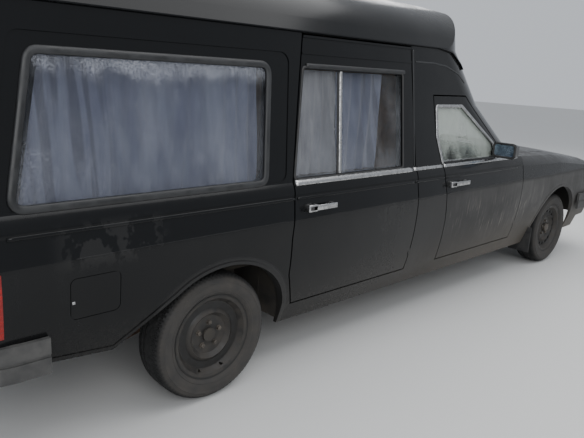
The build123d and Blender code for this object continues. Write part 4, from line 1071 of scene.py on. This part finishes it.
def makeFlap(side, hand):
    f = flap
    shape = blockShape((ahead(f["x"]), hand * (f["inner"] + f["outer"]) / 2, (f["low"] + f["high"]) / 2),
                       (f["thick"], f["outer"] - f["inner"], f["high"] - f["low"]), rounding=0.2)
    newPiece(f"mudFlap_{side}", *shape, rubber, "body", "bumper")


for side, hand in hands.items():
    for place in ("front", "rear"):
        makeTyrePiece(place, side)
        makeBolts(place, side, hand)
    makeGreaseCap(side, hand)
    makeFlap(side, hand)
print("tyres treaded, bolts, caps and flaps fitted")


# curtains: pleated cloth hung just inside the glass
curtains = {
    "pleatLength": 0.085,
    "depth": 0.012,
    "columns": 8,                   # points for each pleat
    "rows": 34,
    "behindGlass": 0.011,
    "drift": (5.0, 1.2, 0.9),       # how fast the pleats wander, along and up, and how far
    "driftTurn": (4.0, 9.0),        # of the wide and of the small pleats
    "deep": (2.1, 0.8, 3.0, 7.0),   # how fast the depth changes, along and up, and where its noise starts
    "deepShare": (0.45, 0.55),
    "small": (0.43, 0.25),          # the small pleats' share of length and depth
    "flatterTop": 0.25,
    "ends": (0.75, 0.28),           # more gather at the ends, and how far in
    "aside": {"load": 0.012, "door": 0.010},
    "loadUp": (0.006, 0.006),       # kept from the slab's foot and head
    "doorUp": (0.005, 0.008),
    # each edge as an inset at the foot and at the head
    "load": {"rear": (0.035, 0.155), "front": (-0.075, -0.020), "gather": 0.45, "seed": 1.5},
    "pale": {"rear": (0.0, 0.085), "front": (0.0, 0.030), "gather": 0.6, "seed": 8.5},
    "violet": {"rear": (0.010, 0.040), "front": (-0.215, -0.105), "gather": 1.1, "seed": 8.5},
    "split": 0.780,                 # where the rear door's two curtains meet
}


def pleat(u, v, seed, gather):
    # how far the cloth stands out, in metres, at u metres along and share v up
    c = curtains
    fast, rise, far = c["drift"]
    drift = noise.noise(Vector((u * fast, v * rise, seed))) * far
    fast, rise, start, other = c["deep"]
    gain, least = c["deepShare"]
    deep = least + gain * noise.noise(Vector((u * fast, v * rise + start, seed + other)))
    wide = math.sin(2 * math.pi * u / c["pleatLength"] + drift * c["driftTurn"][0])
    length, share = c["small"]
    small = share * math.sin(2 * math.pi * u / (c["pleatLength"] * length) + drift * c["driftTurn"][1])
    return c["depth"] * deep * (wide + small) * gather * (1 - v * c["flatterTop"])


def hangCurtain(name, node, body, edges, hand, look, finish):
    # edges: x of the rear edge at foot and head, the same of the front edge, and the heights
    c = curtains
    slab = surfaceOf([node])
    (rearLow, rearHigh), (frontLow, frontHigh), (bottom, top) = edges
    length = frontLow - rearLow
    across = max(8, int(length / c["pleatLength"] * c["columns"]))
    endGather, endLength = c["ends"]
    points, flatWidth = [], 0.0
    for row in range(c["rows"] + 1):
        v = row / c["rows"]
        z = bottom + (top - bottom) * v
        rear, front = rearLow + (rearHigh - rearLow) * v, frontLow + (frontHigh - frontLow) * v
        spots = [rear + (front - rear) * column / across for column in range(across + 1)]
        found = [meet(slab, x, z, hand)[0] for x in spots]
        known = [abs(point.y) for point in found if point is not None]
        beyond = sum(known) / len(known)    # for points past the slab's edge
        made = []
        for column, (x, point) in enumerate(zip(spots, found)):
            y = abs(point.y) if point is not None else beyond
            u = column / across
            ending = max(0.0, 1 - min(u, 1 - u) * length / endLength)
            stand = pleat(u * length, v, look["seed"] + hand, look["gather"] + endGather * ending)
            made.append(Vector((x, hand * (y - c["behindGlass"] + stand), z)))
        points += made
        if row == c["rows"] // 2:
            flatWidth = sum((b - a).length for a, b in zip(made, made[1:]))
    faces = []
    for row in range(c["rows"]):
        for column in range(across):
            a = row * (across + 1) + column
            faces.append((a, a + 1, a + across + 2, a + across + 1))
    piece = newPiece(name, points, faces, finish, body, "curtain")
    return piece


def inset(rear, front, up, look):
    # a curtain's edges, from where its rear and front would stand upright
    return [rear + e for e in look["rear"]], [front + e for e in look["front"]], up


def makeCurtains(side, hand):
    c = curtains
    low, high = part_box("side_curtains")
    up = (low.z + c["loadUp"][0], high.z - c["loadUp"][1])
    edges = inset(low.x + c["aside"]["load"], high.x - c["aside"]["load"], up, c["load"])
    piece = hangCurtain(f"loadCurtain_{side}", "side_curtains", "body", edges, hand, c["load"],
                        curtainCloth)
    if side == "left":
        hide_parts("side_curtains")
    node, body = f"curtain_door_{side}", f"rear_door_{side}"
    low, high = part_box(node)
    rear, front, split = low.x + c["aside"]["door"], high.x - c["aside"]["door"], ahead(c["split"])
    up = (low.z + c["doorUp"][0], high.z - c["doorUp"][1])
    hangCurtain(f"paleCurtain_{side}", node, body, inset(rear, split, up, c["pale"]), hand, c["pale"],
                paleCloth)
    piece = hangCurtain(f"doorCurtain_{side}", node, body, inset(split, front, up, c["violet"]), hand,
                        c["violet"], curtainCloth)
    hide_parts(node)


for side, hand in hands.items():
    makeCurtains(side, hand)
print("curtains hung")


# front seats: cushion, back and head rest on a plain base, measured from the seat's middle
seats = {
    "middle": 2.095,            # ahead of the rear axle
    "side": 0.37,
    "wide": 0.50,
    "pads": [   # name, x, z, length, height, lean in degrees, width share, rounding
        ("cushion", 0.035, 0.470, 0.56, 0.150, -6.0, 1.0, 0.42),
        ("back", -0.225, 0.745, 0.135, 0.560, -15.0, 0.98, 0.45),
        ("rest", -0.318, 1.100, 0.095, 0.150, -8.0, 0.52, 0.46),
    ],
    "base": {"x": 0.03, "long": 0.40, "share": 0.84, "top": 0.42},
    "bars": {"aside": 0.06, "foot": (-0.285, 0.96), "head": (-0.305, 1.07), "radius": 0.006},
}


def makeSeat(side, hand):
    t, b, bars = seats, seats["base"], seats["bars"]
    y, middleX = hand * t["side"], ahead(t["middle"])
    pads = []
    for name, x, z, long, high, lean, share, rounding in t["pads"]:
        turn = Matrix.Rotation(math.radians(lean), 3, "Y")
        size = (long, t["wide"] * share, high)
        shape = blockShape((middleX + x, y, z), size, rounding, turn, segments=7)
        piece = newPiece(f"seat{name.capitalize()}_{side}", *shape, seatCloth, "body", "seat")
        pads.append(piece)
    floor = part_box("front_seats")[0].z
    shapes = [blockShape((middleX + b["x"], y, (floor + b["top"]) / 2),
                         (b["long"], t["wide"] * b["share"], b["top"] - floor), rounding=0.04)]
    for aside in (-bars["aside"], bars["aside"]):
        ends = [Vector((middleX + x, y + aside, z)) for x, z in (bars["foot"], bars["head"])]
        shapes.append(tubeShape(ends, bars["radius"]))
    newPiece(f"seatBase_{side}", *joined(shapes), cabPlastic, "body", "interior", smooth=False)
    return pads[0]


# new seats on both sides; the node that holds both seats is hidden
cushions = [makeSeat(side, hand) for side, hand in hands.items()]
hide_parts("front_seats")
print("seats padded")


# wipers parked along the foot of the windscreen
wipers = {
    "pivots": [0.44, -0.08],
    "reach": 0.46,
    "start": 0.04,              # from the pivot to the blade's near end
    "pivotX": 2.795,
    "pivotZ": 0.968,
    "bladeZ": (1.000, 1.012),
    "blade": [(-0.005, -0.001), (-0.006, 0.006), (-0.003, 0.014),
              (0.003, 0.014), (0.006, 0.006), (0.005, -0.001)],
    "rayFrom": 5.0,
    "steps": 14,
    "held": 8,                  # the step where the arm holds the blade
    "holdOut": 0.018,
    "rise": (0.002, 0, 0.020),
    "bend": (0.010, 0, 0.016),
    "bendAt": 0.35,
    "armRadius": 0.0045,
    "post": (-0.012, 0.024, 0.013),     # foot, head, radius
}


def makeWiper(number, pivot, screen):
    w = wipers
    points, normals = [], []
    low, high = w["bladeZ"]
    for i in range(w["steps"] + 1):
        share = i / w["steps"]
        y = pivot - w["start"] - (w["reach"] - w["start"]) * share
        origin = Vector((ahead(w["rayFrom"]), y, low + (high - low) * share))
        point, normal = screen.ray_cast(origin, Vector((-1, 0, 0)))[:2]
        points.append(point)
        normals.append(normal if normal.x > 0 else -normal)
    start = Vector((ahead(w["pivotX"]), pivot, w["pivotZ"]))
    end = points[w["held"]] + normals[w["held"]] * w["holdOut"]
    arm = [start, start + Vector(w["rise"]), start.lerp(end, w["bendAt"]) + Vector(w["bend"]), end]
    foot, head, radius = w["post"]
    post = [start + Vector((0, 0, foot)), start + Vector((0, 0, head))]
    blade = ribbonShape(points, normals, w["blade"])
    shapes = [blade, tubeShape(arm, w["armRadius"]), tubeShape(post, radius, sides=16)]
    newPiece(f"wiper_{number}", *joined(shapes), rubber, "body", "bumper")


screen = surfaceOf(["windscreen"])
for number, pivot in enumerate(wipers["pivots"]):
    makeWiper(number, pivot, screen)
print("wipers parked")


# studio: pale floor, soft light from above and both sides
studio = {
    "floorTone": (0.62, 0.62, 0.61),
    "floorRoughness": 0.85,
    "floorReach": 40.0,
    "skyTone": (0.80, 0.84, 0.90),
    "skyStrength": 0.75,
    "target": (0, 0, 0.6),
    "lamps": [  # name, place, size, power
        ("overhead", (0.5, 0.0, 6.0), (9.0, 6.0), 420.0),
        ("nearSide", (-4.5, -7.0, 4.5), (6.0, 4.0), 260.0),
        ("farSide", (6.0, 6.5, 5.0), (6.0, 4.0), 200.0),
    ],
}


def makeFloor():
    reach = studio["floorReach"]
    corners = [(-reach, -reach, 0), (reach, -reach, 0), (reach, reach, 0), (-reach, reach, 0)]
    mesh = bpy.data.meshes.new("floor")
    mesh.from_pydata(corners, [], [(0, 1, 2, 3)])
    mesh.materials.append(startMaterial("paleFloor", Base_Color=(*studio["floorTone"], 1),
                                        Roughness=studio["floorRoughness"])[0])
    floor = bpy.data.objects.new("floor", mesh)
    bpy.context.scene.collection.objects.link(floor)


def makeLight():
    world = bpy.data.worlds.new("softSky")
    world.use_nodes = True
    sky = world.node_tree.nodes["Background"]
    sky.inputs["Color"].default_value = (*studio["skyTone"], 1)
    sky.inputs["Strength"].default_value = studio["skyStrength"]
    bpy.context.scene.world = world
    for name, place, size, power in studio["lamps"]:
        lamp = bpy.data.lights.new(name, "AREA")
        lamp.shape = "RECTANGLE"
        lamp.size, lamp.size_y = size
        lamp.energy = power
        holder = bpy.data.objects.new(name, lamp)
        holder.location = place
        holder.rotation_euler = (Vector(studio["target"]) - Vector(place)).to_track_quat("-Z", "Y").to_euler()
        bpy.context.scene.collection.objects.link(holder)


makeFloor()
makeLight()
print("studio lit")
